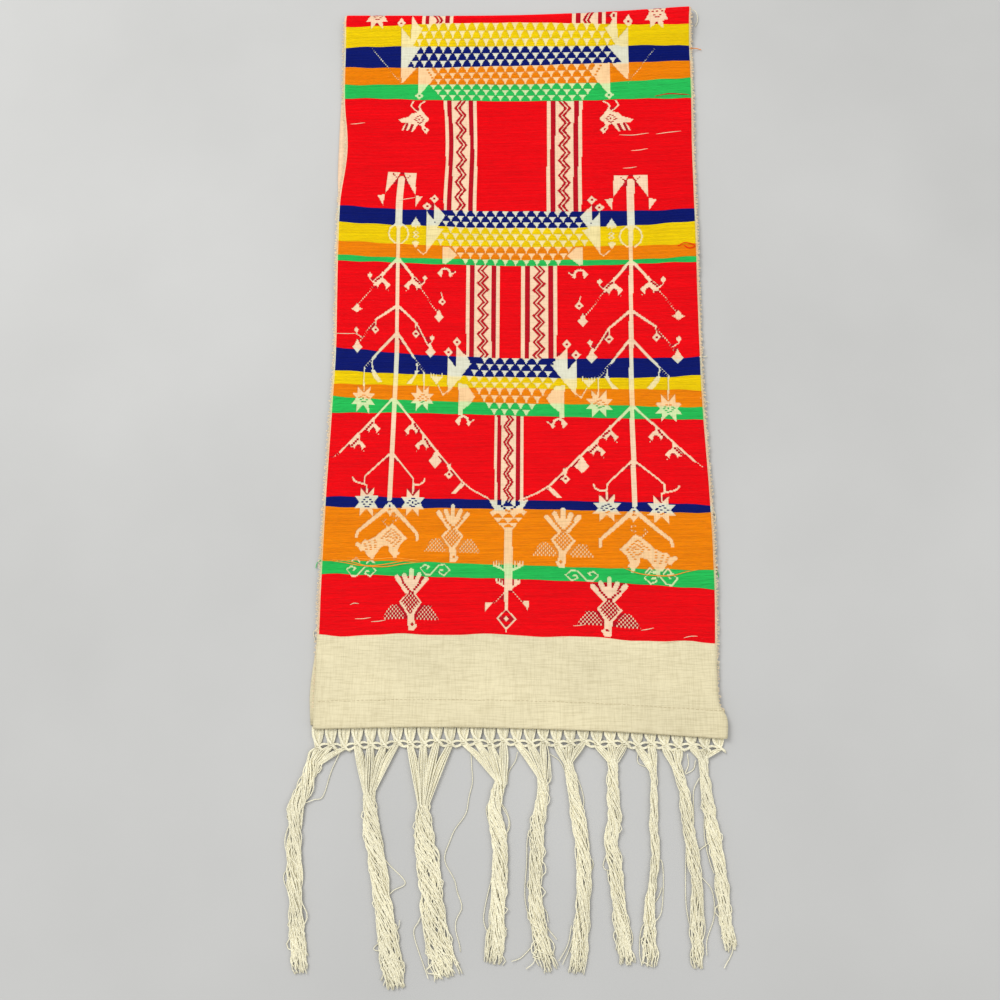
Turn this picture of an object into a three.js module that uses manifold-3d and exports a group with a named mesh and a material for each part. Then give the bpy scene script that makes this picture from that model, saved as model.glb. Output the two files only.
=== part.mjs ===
// A handwoven table runner, folded in half across its length and lying flat.
// Units are millimetres, +Z is up. The runner lies along Y: the soft fold is at the +Y end,
// the knotted fringe with its ten tassels at the -Y end. Lengths along the cloth are measured
// from the fold, so y = 0 is the fold and the hem lies near y = -766.
import * as THREE from 'three';
import Module from 'manifold-3d';
import { mergeVertices } from 'three/addons/utils/BufferGeometryUtils.js';

// Cloth
const CLOTH_THICKNESS = 1.6;
const LAYER_GAP = 0.6;
const FOLD_HEIGHT = 6.4;
const CORNER_LIFT = 3.0;
const CORNER_START = 0.55;
const FOLD_DEPTH = 9;
const FOLD_SETTLE = 48;
const HEM_DEPTH = 26;
const HEM_SETTLE = 30;
const HEM_FLAP_INSET = 1;
const COLUMNS = 17;
const LOWER_STEPS = 12;
const FOLD_STEPS = 8;
const UPPER_STEPS = 29;
const HEM_STEPS = 4;
const TURN_STEPS = 4;
const FLAP_STEPS = 2;

// Fringe
const PARTING = 0.3;
const BACKING_WIDTH = 4;
const BACKING_TOP = 1.5;
const HEM_OVERHANG = 3.6;
const KNOT_COUNT = 31;
const KNOT_PITCH = 12;
const KNOT_DROP = 15.5;
const KNOT_WANDER = 1.4;
const KNOT_WANDER_STEP = 2.3;
const KNOT_RADIUS = 3.1;
const KNOT_HEIGHT = 3.4;
const KNOT_RIDGES = 3;
const KNOT_BITE = 0.7;
const LEG_WIDTH = 2.6;
const ROOT_SPACING = 3.1;
const LEG_HEIGHT = 1.9;
const STRAND_WIDTH = 1.7;
const STRAND_HEIGHT = 1.6;
const STRANDS_PER_KNOT = 3;
const STRAND_STEPS = 7;
const STRAND_FAN = 2.5;
const STRAND_DROP = 6;
const SPREAD_START = 0.55;
const RAGGED_END = 0.05;
const RAGGED_STEP = 2.7;
const TIER_RISE = 3.2;
const STRAY_WIDTH = 1.2;
const SMALLEST_EDGE = 0.02;

// The upper layer's edges, with a row for each place where an edge changes its run.
const UPPER_OUTLINE = [
  { y: 4, left: -189.2, right: 190.5 },
  { y: -13, left: -188.7, right: 188.4 },
  { y: -105, left: -186.4, right: 187.2 },
  { y: -166, left: -180.6, right: 185.4 },
  { y: -232, left: -186.0, right: 184.6 },
  { y: -395, left: -182.6, right: 182.6 },
  { y: -452, left: -183.4, right: 182.4 },
  { y: -553, left: -185.2, right: 185.0 },
  { y: -648, left: -185.6, right: 184.8 },
  { y: -742, left: -184.4, right: 181.8 },
  { y: -756, left: -184.4, right: 188.2 },
  { y: -776, left: -184.0, right: 187.4 },
];

// The lower layer's edges. It shows past the upper one at the left, high up and near the hem.
const LOWER_OUTLINE = [
  { y: 4, left: -187.5, right: 188.5 },
  { y: -60, left: -185.0, right: 184.5 },
  { y: -108, left: -192.0, right: 183.5 },
  { y: -170, left: -192.0, right: 183.0 },
  { y: -206, left: -191.0, right: 182.5 },
  { y: -260, left: -183.0, right: 182.0 },
  { y: -460, left: -181.0, right: 180.0 },
  { y: -660, left: -183.0, right: 182.0 },
  { y: -731, left: -189.4, right: 180.5 },
  { y: -766, left: -187.0, right: 185.0 },
];

// The fold and the hem are not quite square to the cloth: u runs from -1 at the left to 1.
const FOLD_EDGE = [
  { u: -1, y: 2.0 },
  { u: 0, y: -1.4 },
  { u: 1, y: 1.2 },
];
const HEM_EDGE = [
  { u: -1, y: -766.0 },
  { u: -0.37, y: -764.2 },
  { u: 0.4, y: -767.4 },
  { u: 1, y: -774.0 },
];

// Low swells where the upper layer does not lie quite flat, each a soft mound.
const SWELLS = [
  { name: 'left pucker', x: -176, y: -160, wide: 16, long: 26, rise: 2.0 },
  { name: 'upper right swell', x: 118, y: -138, wide: 62, long: 20, rise: 1.5 },
  { name: 'upper left swell', x: -84, y: -108, wide: 54, long: 24, rise: 1.0 },
  { name: 'right edge wave', x: 178, y: -285, wide: 22, long: 34, rise: 1.7 },
  { name: 'left edge wave', x: -172, y: -330, wide: 24, long: 40, rise: 1.3 },
  { name: 'middle swell', x: -30, y: -352, wide: 84, long: 26, rise: 1.0 },
  { name: 'lower right swell', x: 104, y: -470, wide: 58, long: 30, rise: 1.3 },
  { name: 'lower left swell', x: -122, y: -548, wide: 60, long: 24, rise: 1.2 },
  { name: 'right edge lift', x: 180, y: -600, wide: 18, long: 40, rise: 1.8 },
  { name: 'panel swell', x: 20, y: -655, wide: 96, long: 18, rise: 1.1 },
];

// Each tassel: how many knots feed it, how wide and how twisted it lies, and its middle line
// as points below the knots. spread is how much wider its cut end is than its body.
const TASSELS = [
  { knots: 3, width: 19, turns: 0.7, spread: 1.1, gather: [-190, -824],
    line: [[-199, -870], [-190, -916], [-186, -978]] },
  { knots: 4, width: 18.5, turns: 0.6, spread: 1.25, gather: [-131, -826],
    line: [[-124, -866], [-113, -914], [-103, -990]] },
  { knots: 5, width: 20.5, turns: 0.6, spread: 1.5, gather: [-85, -832],
    line: [[-83, -862], [-76, -905], [-58, -980]] },
  { knots: 4, width: 15.5, turns: 0.6, spread: 1.2, gather: [-14, -818],
    line: [[-20, -842], [-14, -888], [-21, -974]] },
  { knots: 3, width: 14.5, turns: 0.65, spread: 1.3, gather: [24, -822],
    line: [[17, -856], [18, -908], [33, -976]] },
  { knots: 3, width: 14.5, turns: 0.7, spread: 1.15, gather: [51, -820],
    line: [[57, -850], [60, -894], [49, -978]] },
  { knots: 3, width: 15, turns: 0.7, spread: 1.0, gather: [86, -826],
    line: [[84, -850], [87, -896], [91, -972]] },
  { knots: 2, width: 9.5, turns: 0.5, spread: 1.5, gather: [120, -820],
    line: [[121, -856], [117, -902], [114, -974]] },
  { knots: 2, width: 12.5, turns: 0.7, spread: 1.2, gather: [144, -812],
    line: [[150, -846], [154, -896], [153, -974]] },
  { knots: 2, width: 12.5, turns: 0.8, spread: 1.1, gather: [167, -816],
    line: [[173, -856], [178, -900], [184, -960]] },
];

// One stray yarn hangs from a knot of the lattice between the third and the fourth tassel.
const STRAY_KNOT = 12;
const STRAY_LINE = [
  [-42, -794], [-42, -812], [-60, -865], [-54, -893], [-48, -908], [-51, -931], [-49, -960],
];

const CREAM = 0xebe1b9;
const YARN = 0xe9dfb5;

const wasm = await Module();
wasm.setup();

const clamp01 = (value) => Math.min(1, Math.max(0, value));
const mix = (from, to, share) => from + (to - from) * share;
const ease = (value) => clamp01(value) ** 2 * (3 - 2 * clamp01(value));

// Reads a column of a table at a place between its rows, as a smooth curve through them.
function readTable(rows, key, column, place) {
  const rising = rows[rows.length - 1][key] > rows[0][key];
  const sorted = rising ? rows : [...rows].reverse();
  const last = sorted.length - 1;
  const at = Math.min(Math.max(place, sorted[0][key]), sorted[last][key]);
  let row = 0;
  while (row < last - 1 && at > sorted[row + 1][key]) row += 1;
  const slope = (index) => {
    const before = sorted[Math.max(index - 1, 0)];
    const after = sorted[Math.min(index + 1, last)];
    return (after[column] - before[column]) / (after[key] - before[key]);
  };
  const step = sorted[row + 1][key] - sorted[row][key];
  const share = (at - sorted[row][key]) / step;
  const square = share * share;
  const cube = square * share;
  return (2 * cube - 3 * square + 1) * sorted[row][column]
    + (cube - 2 * square + share) * step * slope(row)
    + (3 * square - 2 * cube) * sorted[row + 1][column]
    + (cube - square) * step * slope(row + 1);
}

function swellHeight(x, y) {
  let height = 0;
  for (const swell of SWELLS) {
    const across = (x - swell.x) / swell.wide;
    const along = (y - swell.y) / swell.long;
    height += swell.rise * Math.exp(-across * across - along * along);
  }
  return height;
}

// The middle of the cloth's thickness, worked out layer by layer.
const LOWER_LEVEL = CLOTH_THICKNESS / 2;
const LAYER_STEP = CLOTH_THICKNESS + LAYER_GAP;
const UPPER_LEVEL = LOWER_LEVEL + LAYER_STEP;
const TURN_RADIUS = LAYER_STEP / 2;

const foldY = (u) => readTable(FOLD_EDGE, 'u', 'y', u);
const hemY = (u) => readTable(HEM_EDGE, 'u', 'y', u);
const lowerEndY = (u) => hemY(u) + HEM_OVERHANG;
const foldTop = (u) => FOLD_HEIGHT + CORNER_LIFT * ease((u - CORNER_START) / (1 - CORNER_START));

function edgeX(outline, y, u) {
  const left = readTable(outline, 'y', 'left', y);
  const right = readTable(outline, 'y', 'right', y);
  return mix(left, right, (u + 1) / 2);
}

function upperZ(x, y, u) {
  const fromFold = (foldY(u) - FOLD_DEPTH - y) / FOLD_SETTLE;
  const foldRise = (foldTop(u) - CLOTH_THICKNESS / 2 - UPPER_LEVEL) * (1 - ease(fromFold));
  const flapEnd = hemY(u) + HEM_DEPTH;
  const hemRise = LAYER_STEP * (1 - ease((y - flapEnd) / HEM_SETTLE));
  const quiet = ease(fromFold) * ease((y - flapEnd) / HEM_SETTLE);
  return UPPER_LEVEL + foldRise + hemRise + swellHeight(x, y) * quiet;
}

// The stations of the back-and-forth section, from the lower layer's end to the hem's flap.
function sectionStations() {
  const stations = [];
  const add = (layer, steps, first) => {
    for (let step = first; step <= steps; step += 1) stations.push({ layer, share: step / steps });
  };
  add('lower', LOWER_STEPS, 0);
  add('fold', FOLD_STEPS, 1);
  add('upper', UPPER_STEPS, 1);
  add('hem', HEM_STEPS, 1);
  add('turn', TURN_STEPS, 1);
  add('flap', FLAP_STEPS, 1);
  return stations;
}

function stationPoint({ layer, share }, u) {
  const foldStart = foldY(u) - FOLD_DEPTH;
  const hemStart = hemY(u) + HEM_DEPTH;
  const turnStart = hemY(u) + CLOTH_THICKNESS / 2 + TURN_RADIUS;
  if (layer === 'lower') {
    const y = mix(lowerEndY(u), foldStart, share);
    return { x: edgeX(LOWER_OUTLINE, y, u), y, z: LOWER_LEVEL };
  }
  if (layer === 'fold') {
    const angle = Math.PI * share;
    const reach = FOLD_DEPTH - CLOTH_THICKNESS / 2;
    const top = foldTop(u) - CLOTH_THICKNESS / 2;
    const y = foldStart + reach * Math.sin(angle);
    const lowerX = edgeX(LOWER_OUTLINE, y, u);
    const upperX = edgeX(UPPER_OUTLINE, y, u);
    const z = LOWER_LEVEL + (top - LOWER_LEVEL) * (1 - Math.cos(angle)) / 2;
    return { x: mix(lowerX, upperX, share), y, z };
  }
  if (layer === 'upper' || layer === 'hem') {
    const y = layer === 'upper' ? mix(foldStart, hemStart, share) : mix(hemStart, turnStart, share);
    const x = edgeX(UPPER_OUTLINE, y, u);
    return { x, y, z: upperZ(x, y, u) };
  }
  const topZ = UPPER_LEVEL + LAYER_STEP;
  if (layer === 'turn') {
    const angle = Math.PI * share;
    const y = turnStart - TURN_RADIUS * Math.sin(angle);
    const z = topZ - TURN_RADIUS * (1 - Math.cos(angle));
    return { x: edgeX(UPPER_OUTLINE, y, u) - u * HEM_FLAP_INSET * share, y, z };
  }
  const y = mix(turnStart, hemStart, share);
  return { x: edgeX(UPPER_OUTLINE, turnStart, u) - u * HEM_FLAP_INSET, y, z: UPPER_LEVEL };
}

// Sweeps the section from edge to edge and closes it at both long edges and both ends.
function clothGeometry() {
  const stations = sectionStations();
  const columns = Array.from({ length: COLUMNS + 1 }, (_, column) => 2 * column / COLUMNS - 1);
  const positions = [];
  for (const side of [1, -1]) {
    stations.forEach((station, row) => {
      for (const u of columns) {
        const here = stationPoint(station, u);
        const before = stationPoint(stations[Math.max(row - 1, 0)], u);
        const after = stationPoint(stations[Math.min(row + 1, stations.length - 1)], u);
        const run = Math.hypot(after.y - before.y, after.z - before.z);
        const normalY = -(after.z - before.z) / run;
        const normalZ = (after.y - before.y) / run;
        const level = station.layer === 'lower' && station.share < 1;
        const offset = side * CLOTH_THICKNESS / 2;
        const shiftY = level ? 0 : offset * normalY;
        const shiftZ = level ? offset : offset * normalZ;
        positions.push(here.x, here.y + shiftY, Math.max(here.z + shiftZ, 0));
      }
    });
  }
  const rows = stations.length;
  const wide = columns.length;
  const point = (side, row, column) => (side * rows + row) * wide + column;
  const triangles = [];
  const quad = (a, b, c, d) => triangles.push(a, b, c, a, c, d);
  for (let row = 0; row < rows - 1; row += 1) {
    for (let column = 0; column < wide - 1; column += 1) {
      const corners = [[row, column], [row, column + 1], [row + 1, column + 1], [row + 1, column]];
      quad(...corners.map(([r, c]) => point(0, r, c)));
      quad(...corners.reverse().map(([r, c]) => point(1, r, c)));
    }
    const end = wide - 1;
    quad(point(0, row, 0), point(0, row + 1, 0), point(1, row + 1, 0), point(1, row, 0));
    quad(point(0, row, end), point(1, row, end), point(1, row + 1, end), point(0, row + 1, end));
  }
  const top = rows - 1;
  for (let column = 0; column < wide - 1; column += 1) {
    quad(point(0, 0, column), point(1, 0, column), point(1, 0, column + 1), point(0, 0, column + 1));
    quad(point(0, top, column), point(0, top, column + 1), point(1, top, column + 1), point(1, top, column));
  }
  return geometryFrom(positions, triangles);
}

function geometryFrom(positions, triangles) {
  const geometry = new THREE.BufferGeometry();
  geometry.setAttribute('position', new THREE.Float32BufferAttribute(positions, 3));
  geometry.setIndex(triangles);
  return geometry;
}

function solidFrom(geometry) {
  const bare = geometry.clone();
  bare.deleteAttribute('normal');
  bare.deleteAttribute('uv');
  const merged = mergeVertices(bare);
  return new wasm.Manifold(new wasm.Mesh({
    numProp: 3,
    vertProperties: Float32Array.from(merged.attributes.position.array),
    triVerts: Uint32Array.from(merged.index.array),
  }));
}

// A strand with a flat underside: a three-sided prism along a line of points.
// Each point is the middle of the strand's underside.
function strandGeometry(points, width, height) {
  const positions = [];
  points.forEach((point, index) => {
    const before = points[Math.max(index - 1, 0)];
    const after = points[Math.min(index + 1, points.length - 1)];
    const run = Math.hypot(after.x - before.x, after.y - before.y);
    const sideX = (after.y - before.y) / run * width / 2;
    const sideY = -(after.x - before.x) / run * width / 2;
    positions.push(point.x - sideX, point.y - sideY, point.z);
    positions.push(point.x + sideX, point.y + sideY, point.z);
    positions.push(point.x, point.y, point.z + height);
  });
  const triangles = [0, 1, 2];
  for (let index = 0; index < points.length - 1; index += 1) {
    for (let corner = 0; corner < 3; corner += 1) {
      const next = (corner + 1) % 3;
      const a = index * 3 + corner;
      const b = index * 3 + next;
      triangles.push(a, a + 3, b + 3, a, b + 3, b);
    }
  }
  const end = (points.length - 1) * 3;
  triangles.push(end, end + 2, end + 1);
  return geometryFrom(positions, triangles);
}

// A knot lying on the surface: flat below, ridged round its side and domed above.
function knotGeometry(x, y) {
  const rings = [
    { z: 0, share: 0.85 },
    { z: KNOT_HEIGHT * 0.5, share: 1 },
  ];
  const corners = KNOT_RIDGES * 2;
  const positions = [];
  for (const ring of rings) {
    for (let corner = 0; corner < corners; corner += 1) {
      const angle = 2 * Math.PI * corner / corners;
      const ridge = corner % 2 === 0 ? 1 : 0.8;
      const radius = KNOT_RADIUS * ring.share * ridge;
      positions.push(x + radius * Math.cos(angle), y + radius * Math.sin(angle), ring.z);
    }
  }
  positions.push(x, y, 0, x, y, KNOT_HEIGHT);
  const bottom = rings.length * corners;
  const triangles = [];
  for (let corner = 0; corner < corners; corner += 1) {
    const next = (corner + 1) % corners;
    triangles.push(bottom, next, corner);
    for (let ring = 0; ring < rings.length - 1; ring += 1) {
      const low = ring * corners;
      const high = low + corners;
      triangles.push(low + corner, low + next, high + next, low + corner, high + next, high + corner);
    }
    const rim = (rings.length - 1) * corners;
    triangles.push(rim + corner, rim + next, bottom + 1);
  }
  return geometryFrom(positions, triangles);
}

// The narrow strip that the fringe hangs from, a hair's breadth off the lower layer's end.
function backingGeometry() {
  const positions = [];
  const steps = KNOT_COUNT;
  for (let step = 0; step <= steps; step += 1) {
    const u = 2 * step / steps - 1;
    const high = lowerEndY(u) - PARTING;
    const x = edgeX(LOWER_OUTLINE, high, u);
    for (const y of [high, high - BACKING_WIDTH]) {
      positions.push(x, y, 0, x, y, BACKING_TOP);
    }
  }
  const triangles = [];
  const quad = (a, b, c, d) => triangles.push(a, b, c, a, c, d);
  for (let step = 0; step < steps; step += 1) {
    const here = step * 4;
    const next = here + 4;
    quad(here, next, next + 2, here + 2);
    quad(here + 1, here + 3, next + 3, next + 1);
    quad(here + 2, next + 2, next + 3, here + 3);
    quad(here, here + 1, next + 1, next);
  }
  const end = steps * 4;
  quad(0, 2, 3, 1);
  quad(end, end + 1, end + 3, end + 2);
  return geometryFrom(positions, triangles);
}

const knotX = (index) => (index - (KNOT_COUNT - 1) / 2) * KNOT_PITCH;
const knotU = (index) => knotX(index) / (KNOT_COUNT * KNOT_PITCH / 2);
const knotWander = (index) => KNOT_WANDER * Math.sin(index * KNOT_WANDER_STEP);
const knotY = (index) => hemY(knotU(index)) - KNOT_DROP + knotWander(index);

// Two legs run from each root to the knots beside it, which makes the open lattice.
function latticeGeometries() {
  const pieces = [backingGeometry()];
  for (let knot = 0; knot < KNOT_COUNT; knot += 1) {
    pieces.push(knotGeometry(knotX(knot), knotY(knot)));
    for (const side of [-0.5, 0.5]) {
      const rootX = knotX(knot + side);
      const rootY = lowerEndY(knotU(knot + side)) - PARTING - BACKING_WIDTH / 2;
      const points = [
        { x: rootX - side * ROOT_SPACING, y: rootY, z: 0.25 },
        { x: knotX(knot) + side, y: knotY(knot) + KNOT_BITE, z: 0.7 },
      ];
      pieces.push(strandGeometry(points, LEG_WIDTH, LEG_HEIGHT));
    }
  }
  return pieces;
}

// A place on the flat-bottomed loop that a tassel's strands wind round, from 0 to 1 about it.
function loopPlace(share, width) {
  const flat = Math.max(width - TIER_RISE, 0.1);
  const bend = Math.PI * TIER_RISE / 2;
  const round = 2 * (flat + bend);
  let run = (share - Math.floor(share)) * round;
  if (run < flat) return { across: run - flat / 2, rise: 0 };
  run -= flat;
  if (run < bend) {
    const angle = run / bend * Math.PI;
    return { across: flat / 2 + Math.sin(angle) * TIER_RISE / 2, rise: (1 - Math.cos(angle)) * TIER_RISE / 2 };
  }
  run -= bend;
  if (run < flat) return { across: flat / 2 - run, rise: TIER_RISE };
  run -= flat;
  const angle = run / bend * Math.PI;
  return { across: -flat / 2 - Math.sin(angle) * TIER_RISE / 2, rise: (1 + Math.cos(angle)) * TIER_RISE / 2 };
}

function tasselGeometries(tassel, firstKnot) {
  const { gather, line, width, turns, spread } = tassel;
  const curve = new THREE.CatmullRomCurve3([gather, ...line].map(([x, y]) => new THREE.Vector3(x, y, 0)));
  const count = tassel.knots * STRANDS_PER_KNOT;
  const across = (phase) => loopPlace(phase, width - STRAND_WIDTH).across;
  const phases = Array.from({ length: count }, (_, lane) => (lane + 0.5) / count);
  phases.sort((one, other) => across(one) - across(other));
  const pieces = [];
  for (let strand = 0; strand < count; strand += 1) {
    const knot = firstKnot + Math.floor(strand / STRANDS_PER_KNOT);
    const fan = (strand % STRANDS_PER_KNOT - 1) * STRAND_FAN;
    const points = [
      { x: knotX(knot) + fan / 3, y: knotY(knot) - KNOT_BITE, z: 0.45 },
      { x: knotX(knot) + fan, y: knotY(knot) - STRAND_DROP, z: 0.6 },
    ];
    const shortening = RAGGED_END * (1 + Math.sin(strand * RAGGED_STEP + firstKnot)) / 2;
    for (let step = 0; step <= STRAND_STEPS; step += 1) {
      const even = step / STRAND_STEPS * (1 - RAGGED_END);
      const along = step < STRAND_STEPS ? even : 1 - shortening;
      const place = curve.getPointAt(along);
      const heading = curve.getTangentAt(along);
      const wide = (width - STRAND_WIDTH) * mix(1, spread, ease((along - SPREAD_START) / (1 - SPREAD_START)));
      const loop = loopPlace(phases[strand] + turns * along, wide);
      const sideX = -heading.y * loop.across;
      const sideY = heading.x * loop.across;
      points.push({ x: place.x + sideX, y: place.y + sideY, z: loop.rise });
    }
    pieces.push(strandGeometry(points, STRAND_WIDTH, STRAND_HEIGHT));
  }
  return pieces;
}

function fringeGeometry() {
  const pieces = latticeGeometries();
  let firstKnot = 0;
  for (const tassel of TASSELS) {
    pieces.push(...tasselGeometries(tassel, firstKnot));
    firstKnot += tassel.knots;
  }
  const strayRoot = { x: knotX(STRAY_KNOT) - KNOT_BITE, y: knotY(STRAY_KNOT), z: 0.35 };
  const stray = [strayRoot, ...STRAY_LINE.map(([x, y]) => ({ x, y, z: 0 }))];
  pieces.push(strandGeometry(stray, STRAY_WIDTH, STRAY_WIDTH));
  const joined = wasm.Manifold.union(pieces.map(solidFrom)).simplify(SMALLEST_EDGE);
  const mesh = joined.getMesh();
  return geometryFrom(Array.from(mesh.vertProperties), Array.from(mesh.triVerts));
}

function namedMesh(name, geometry, color) {
  const material = new THREE.MeshStandardMaterial({ color, roughness: 0.9, metalness: 0 });
  const mesh = new THREE.Mesh(geometry, material);
  mesh.name = name;
  return mesh;
}

const runner = new THREE.Group();
runner.name = 'table_runner';
runner.add(namedMesh('runner_cloth', clothGeometry(), CREAM));
runner.add(namedMesh('knotted_fringe', fringeGeometry(), YARN));

// The origin is the middle of the runner's footprint, on the surface it lies on.
const footprint = new THREE.Box3().setFromObject(runner);
const centre = footprint.getCenter(new THREE.Vector3());
runner.position.set(-centre.x, -centre.y, 0);

export default runner;
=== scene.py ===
# A handwoven cotton table runner, folded in half and lying flat on a pale floor.
# Lengths in this file are millimetres and are turned into metres when a mesh is made.
# On the cloth, u runs from -1 at the left edge to 1 at the right, and t is the distance from
# the fold, above zero on the upper layer and below zero on the layer beneath.
import math

import bpy
import numpy as np
from mathutils import Matrix, Vector


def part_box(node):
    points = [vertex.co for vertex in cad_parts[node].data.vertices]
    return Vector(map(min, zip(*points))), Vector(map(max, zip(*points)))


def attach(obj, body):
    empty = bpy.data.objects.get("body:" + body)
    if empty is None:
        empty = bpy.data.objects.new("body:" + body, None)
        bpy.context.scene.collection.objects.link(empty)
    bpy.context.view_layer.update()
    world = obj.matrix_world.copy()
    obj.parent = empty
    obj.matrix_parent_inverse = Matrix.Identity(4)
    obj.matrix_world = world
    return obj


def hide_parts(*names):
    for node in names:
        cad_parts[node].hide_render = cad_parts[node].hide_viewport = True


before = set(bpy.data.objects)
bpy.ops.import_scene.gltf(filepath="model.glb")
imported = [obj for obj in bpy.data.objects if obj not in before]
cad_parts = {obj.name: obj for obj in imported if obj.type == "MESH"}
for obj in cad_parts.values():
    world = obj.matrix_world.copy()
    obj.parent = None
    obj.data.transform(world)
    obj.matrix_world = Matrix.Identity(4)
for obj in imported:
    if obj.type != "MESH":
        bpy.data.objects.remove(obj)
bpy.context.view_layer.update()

# Cloth
THICKNESS = 1.6
LAYER_GAP = 0.6
FOLD_HEIGHT = 6.4
CORNER_LIFT = 3.0
CORNER_START = 0.55
FOLD_DEPTH = 9.0
FOLD_SETTLE = 48.0
HEM_DEPTH = 26.0
HEM_SETTLE = 30.0
HEM_FLAP_INSET = 1.0
HEM_OVERHANG = 3.6
GROUND_OUTER = 0.36
GROUND_INNER = 0.8
RIPPLE = 0.12
LOWER_LEVEL = THICKNESS / 2
LAYER_STEP = THICKNESS + LAYER_GAP
UPPER_LEVEL = LOWER_LEVEL + LAYER_STEP
TURN_RADIUS = LAYER_STEP / 2

# The edges of the upper and the lower layer, from the hem to the fold.
UPPER_OUTLINE = {
    "y": (-776, -756, -742, -648, -553, -452, -395, -232, -166, -105, -13, 4),
    "left": (-184.0, -184.4, -184.4, -185.6, -185.2, -183.4, -182.6, -186, -180.6, -186.4, -188.7, -189.2),
    "right": (187.4, 188.2, 181.8, 184.8, 185.0, 182.4, 182.6, 184.6, 185.4, 187.2, 188.4, 190.5),
}
LOWER_OUTLINE = {
    "y": (-766, -731, -660, -460, -260, -206, -170, -108, -60, 4),
    "left": (-187.0, -189.4, -183.0, -181.0, -183.0, -187.8, -188.6, -188.4, -185.0, -187.5),
    "right": (185.0, 180.5, 182.0, 180.0, 182.0, 182.5, 183.0, 183.5, 184.5, 188.5),
}
FOLD_EDGE = {"u": (-1, 0, 1), "y": (3.2, -1.4, 3.0)}
HEM_EDGE = {"u": (-1, -0.37, 0.4, 1), "y": (-766.0, -764.2, -767.4, -774.0)}

# Soft mounds where the upper layer does not lie quite flat: x, y, wide, long, rise.
SWELLS = (
    (-176, -160, 16, 26, 2.0),
    (118, -138, 62, 20, 1.5),
    (-84, -108, 54, 24, 1.0),
    (178, -285, 22, 34, 1.7),
    (-172, -330, 24, 40, 1.3),
    (-30, -352, 84, 26, 1.0),
    (104, -470, 58, 30, 1.3),
    (-122, -548, 60, 24, 1.2),
    (180, -600, 18, 40, 1.8),
    (20, -655, 96, 18, 1.1),
)

# The design's middle line wanders a little as it goes down the cloth.
CENTRE_LINE = {
    "y": (-776, -666, -557, -435, -276, -110, 4),
    "x": (-10.2, -9.7, -8.1, -7.0, -6.3, -6.6, -6.7),
}
CELL = 1.7
SELVEDGE = 2.2
CELLS_LEFT = 104
CELLS_RIGHT = 104

# The stripes from the fold down: colour, picks of weft in it, and its lower edge's y at the
# left, in the middle and at the right.
STRIPES = (
    ("red", 16, -13.6, -13.0, -23.0),
    ("yellow", 27, -38.2, -42.0, -45.6),
    ("blue", 24, -64.8, -66.0, -63.2),
    ("orange", 24, -84.2, -89.6, -86.6),
    ("green", 18, -102.5, -110.7, -110.2),
    ("red", 128, -232.6, -242.5, -242.4),
    ("blue", 18, -250.2, -261.7, -258.5),
    ("yellow", 24, -273.8, -283.3, -282.4),
    ("orange", 16, -288.7, -298.0, -298.1),
    ("green", 6, -295.1, -304.7, -303.7),
    ("red", 98, -393.1, -406.1, -405.7),
    ("blue", 21, -415.7, -426.3, -427.3),
    ("yellow", 14, -431.1, -437.9, -441.9),
    ("orange", 16, -445.4, -453.6, -459.2),
    ("green", 14, -460.1, -466.6, -474.0),
    ("red", 84, -547.9, -552.1, -557.1),
    ("blue", 9, -557.9, -560.9, -565.7),
    ("orange", 52, -608.8, -615.3, -622.2),
    ("green", 14, -623.9, -628.6, -638.1),
    ("red", 52, -680.7, -681.0, -689.4),
)

# How far the edges of the stripes stray: near the selvedges, on the last edge, inside, and finely.
STRIPE_WAVE = 1.3
HEM_WAVE = 0.9
INNER_WAVE = 0.15
FINE_WAVE = 0.55
# The u of the design's middle, where the distances down the cloth are measured.
DESIGN_U = -0.04

random = np.random.default_rng(7)


def ease(value):
    value = np.clip(value, 0.0, 1.0)
    return value * value * (3 - 2 * value)


def mix(first, second, share):
    return first + (second - first) * share


def smooth(keys, values, place):
    """Reads a table as a smooth curve through its rows, for a number or an array of places."""
    keys = np.asarray(keys, float)
    values = np.asarray(values, float)
    at = np.clip(place, keys[0], keys[-1])
    row = np.clip(np.searchsorted(keys, at, side="left") - 1, 0, len(keys) - 2)
    slope = np.empty(len(keys))
    slope[1:-1] = (values[2:] - values[:-2]) / (keys[2:] - keys[:-2])
    slope[0] = (values[1] - values[0]) / (keys[1] - keys[0])
    slope[-1] = (values[-1] - values[-2]) / (keys[-1] - keys[-2])
    step = keys[row + 1] - keys[row]
    share = (at - keys[row]) / step
    square = share * share
    cube = square * share
    return (
        (2 * cube - 3 * square + 1) * values[row]
        + (cube - 2 * square + share) * step * slope[row]
        + (3 * square - 2 * cube) * values[row + 1]
        + (cube - square) * step * slope[row + 1]
    )


def fold_y(u):
    return smooth(FOLD_EDGE["u"], FOLD_EDGE["y"], u)


def hem_y(u):
    return smooth(HEM_EDGE["u"], HEM_EDGE["y"], u)


def edge_x(outline, y, u):
    left = smooth(outline["y"], outline["left"], y)
    right = smooth(outline["y"], outline["right"], y)
    return mix(left, right, (u + 1) / 2)


def swell(x, y):
    """The rise of the soft mounds at a place."""
    height = np.zeros(np.broadcast(x, y).shape)
    for middle_x, middle_y, wide, long, rise in SWELLS:
        height += rise * np.exp(-(((x - middle_x) / wide) ** 2) - ((y - middle_y) / long) ** 2)
    return height


def ripple(x, y):
    """Fine unevenness of handwoven cloth, across and along."""
    return RIPPLE * (
        np.sin(x * 0.071 + 1.3 * np.sin(y * 0.023))
        + np.sin(y * 0.133 + 1.7 * np.sin(x * 0.017 + 2.0))
        + 0.7 * np.sin(x * 0.19 + y * 0.11)
    )


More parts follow.
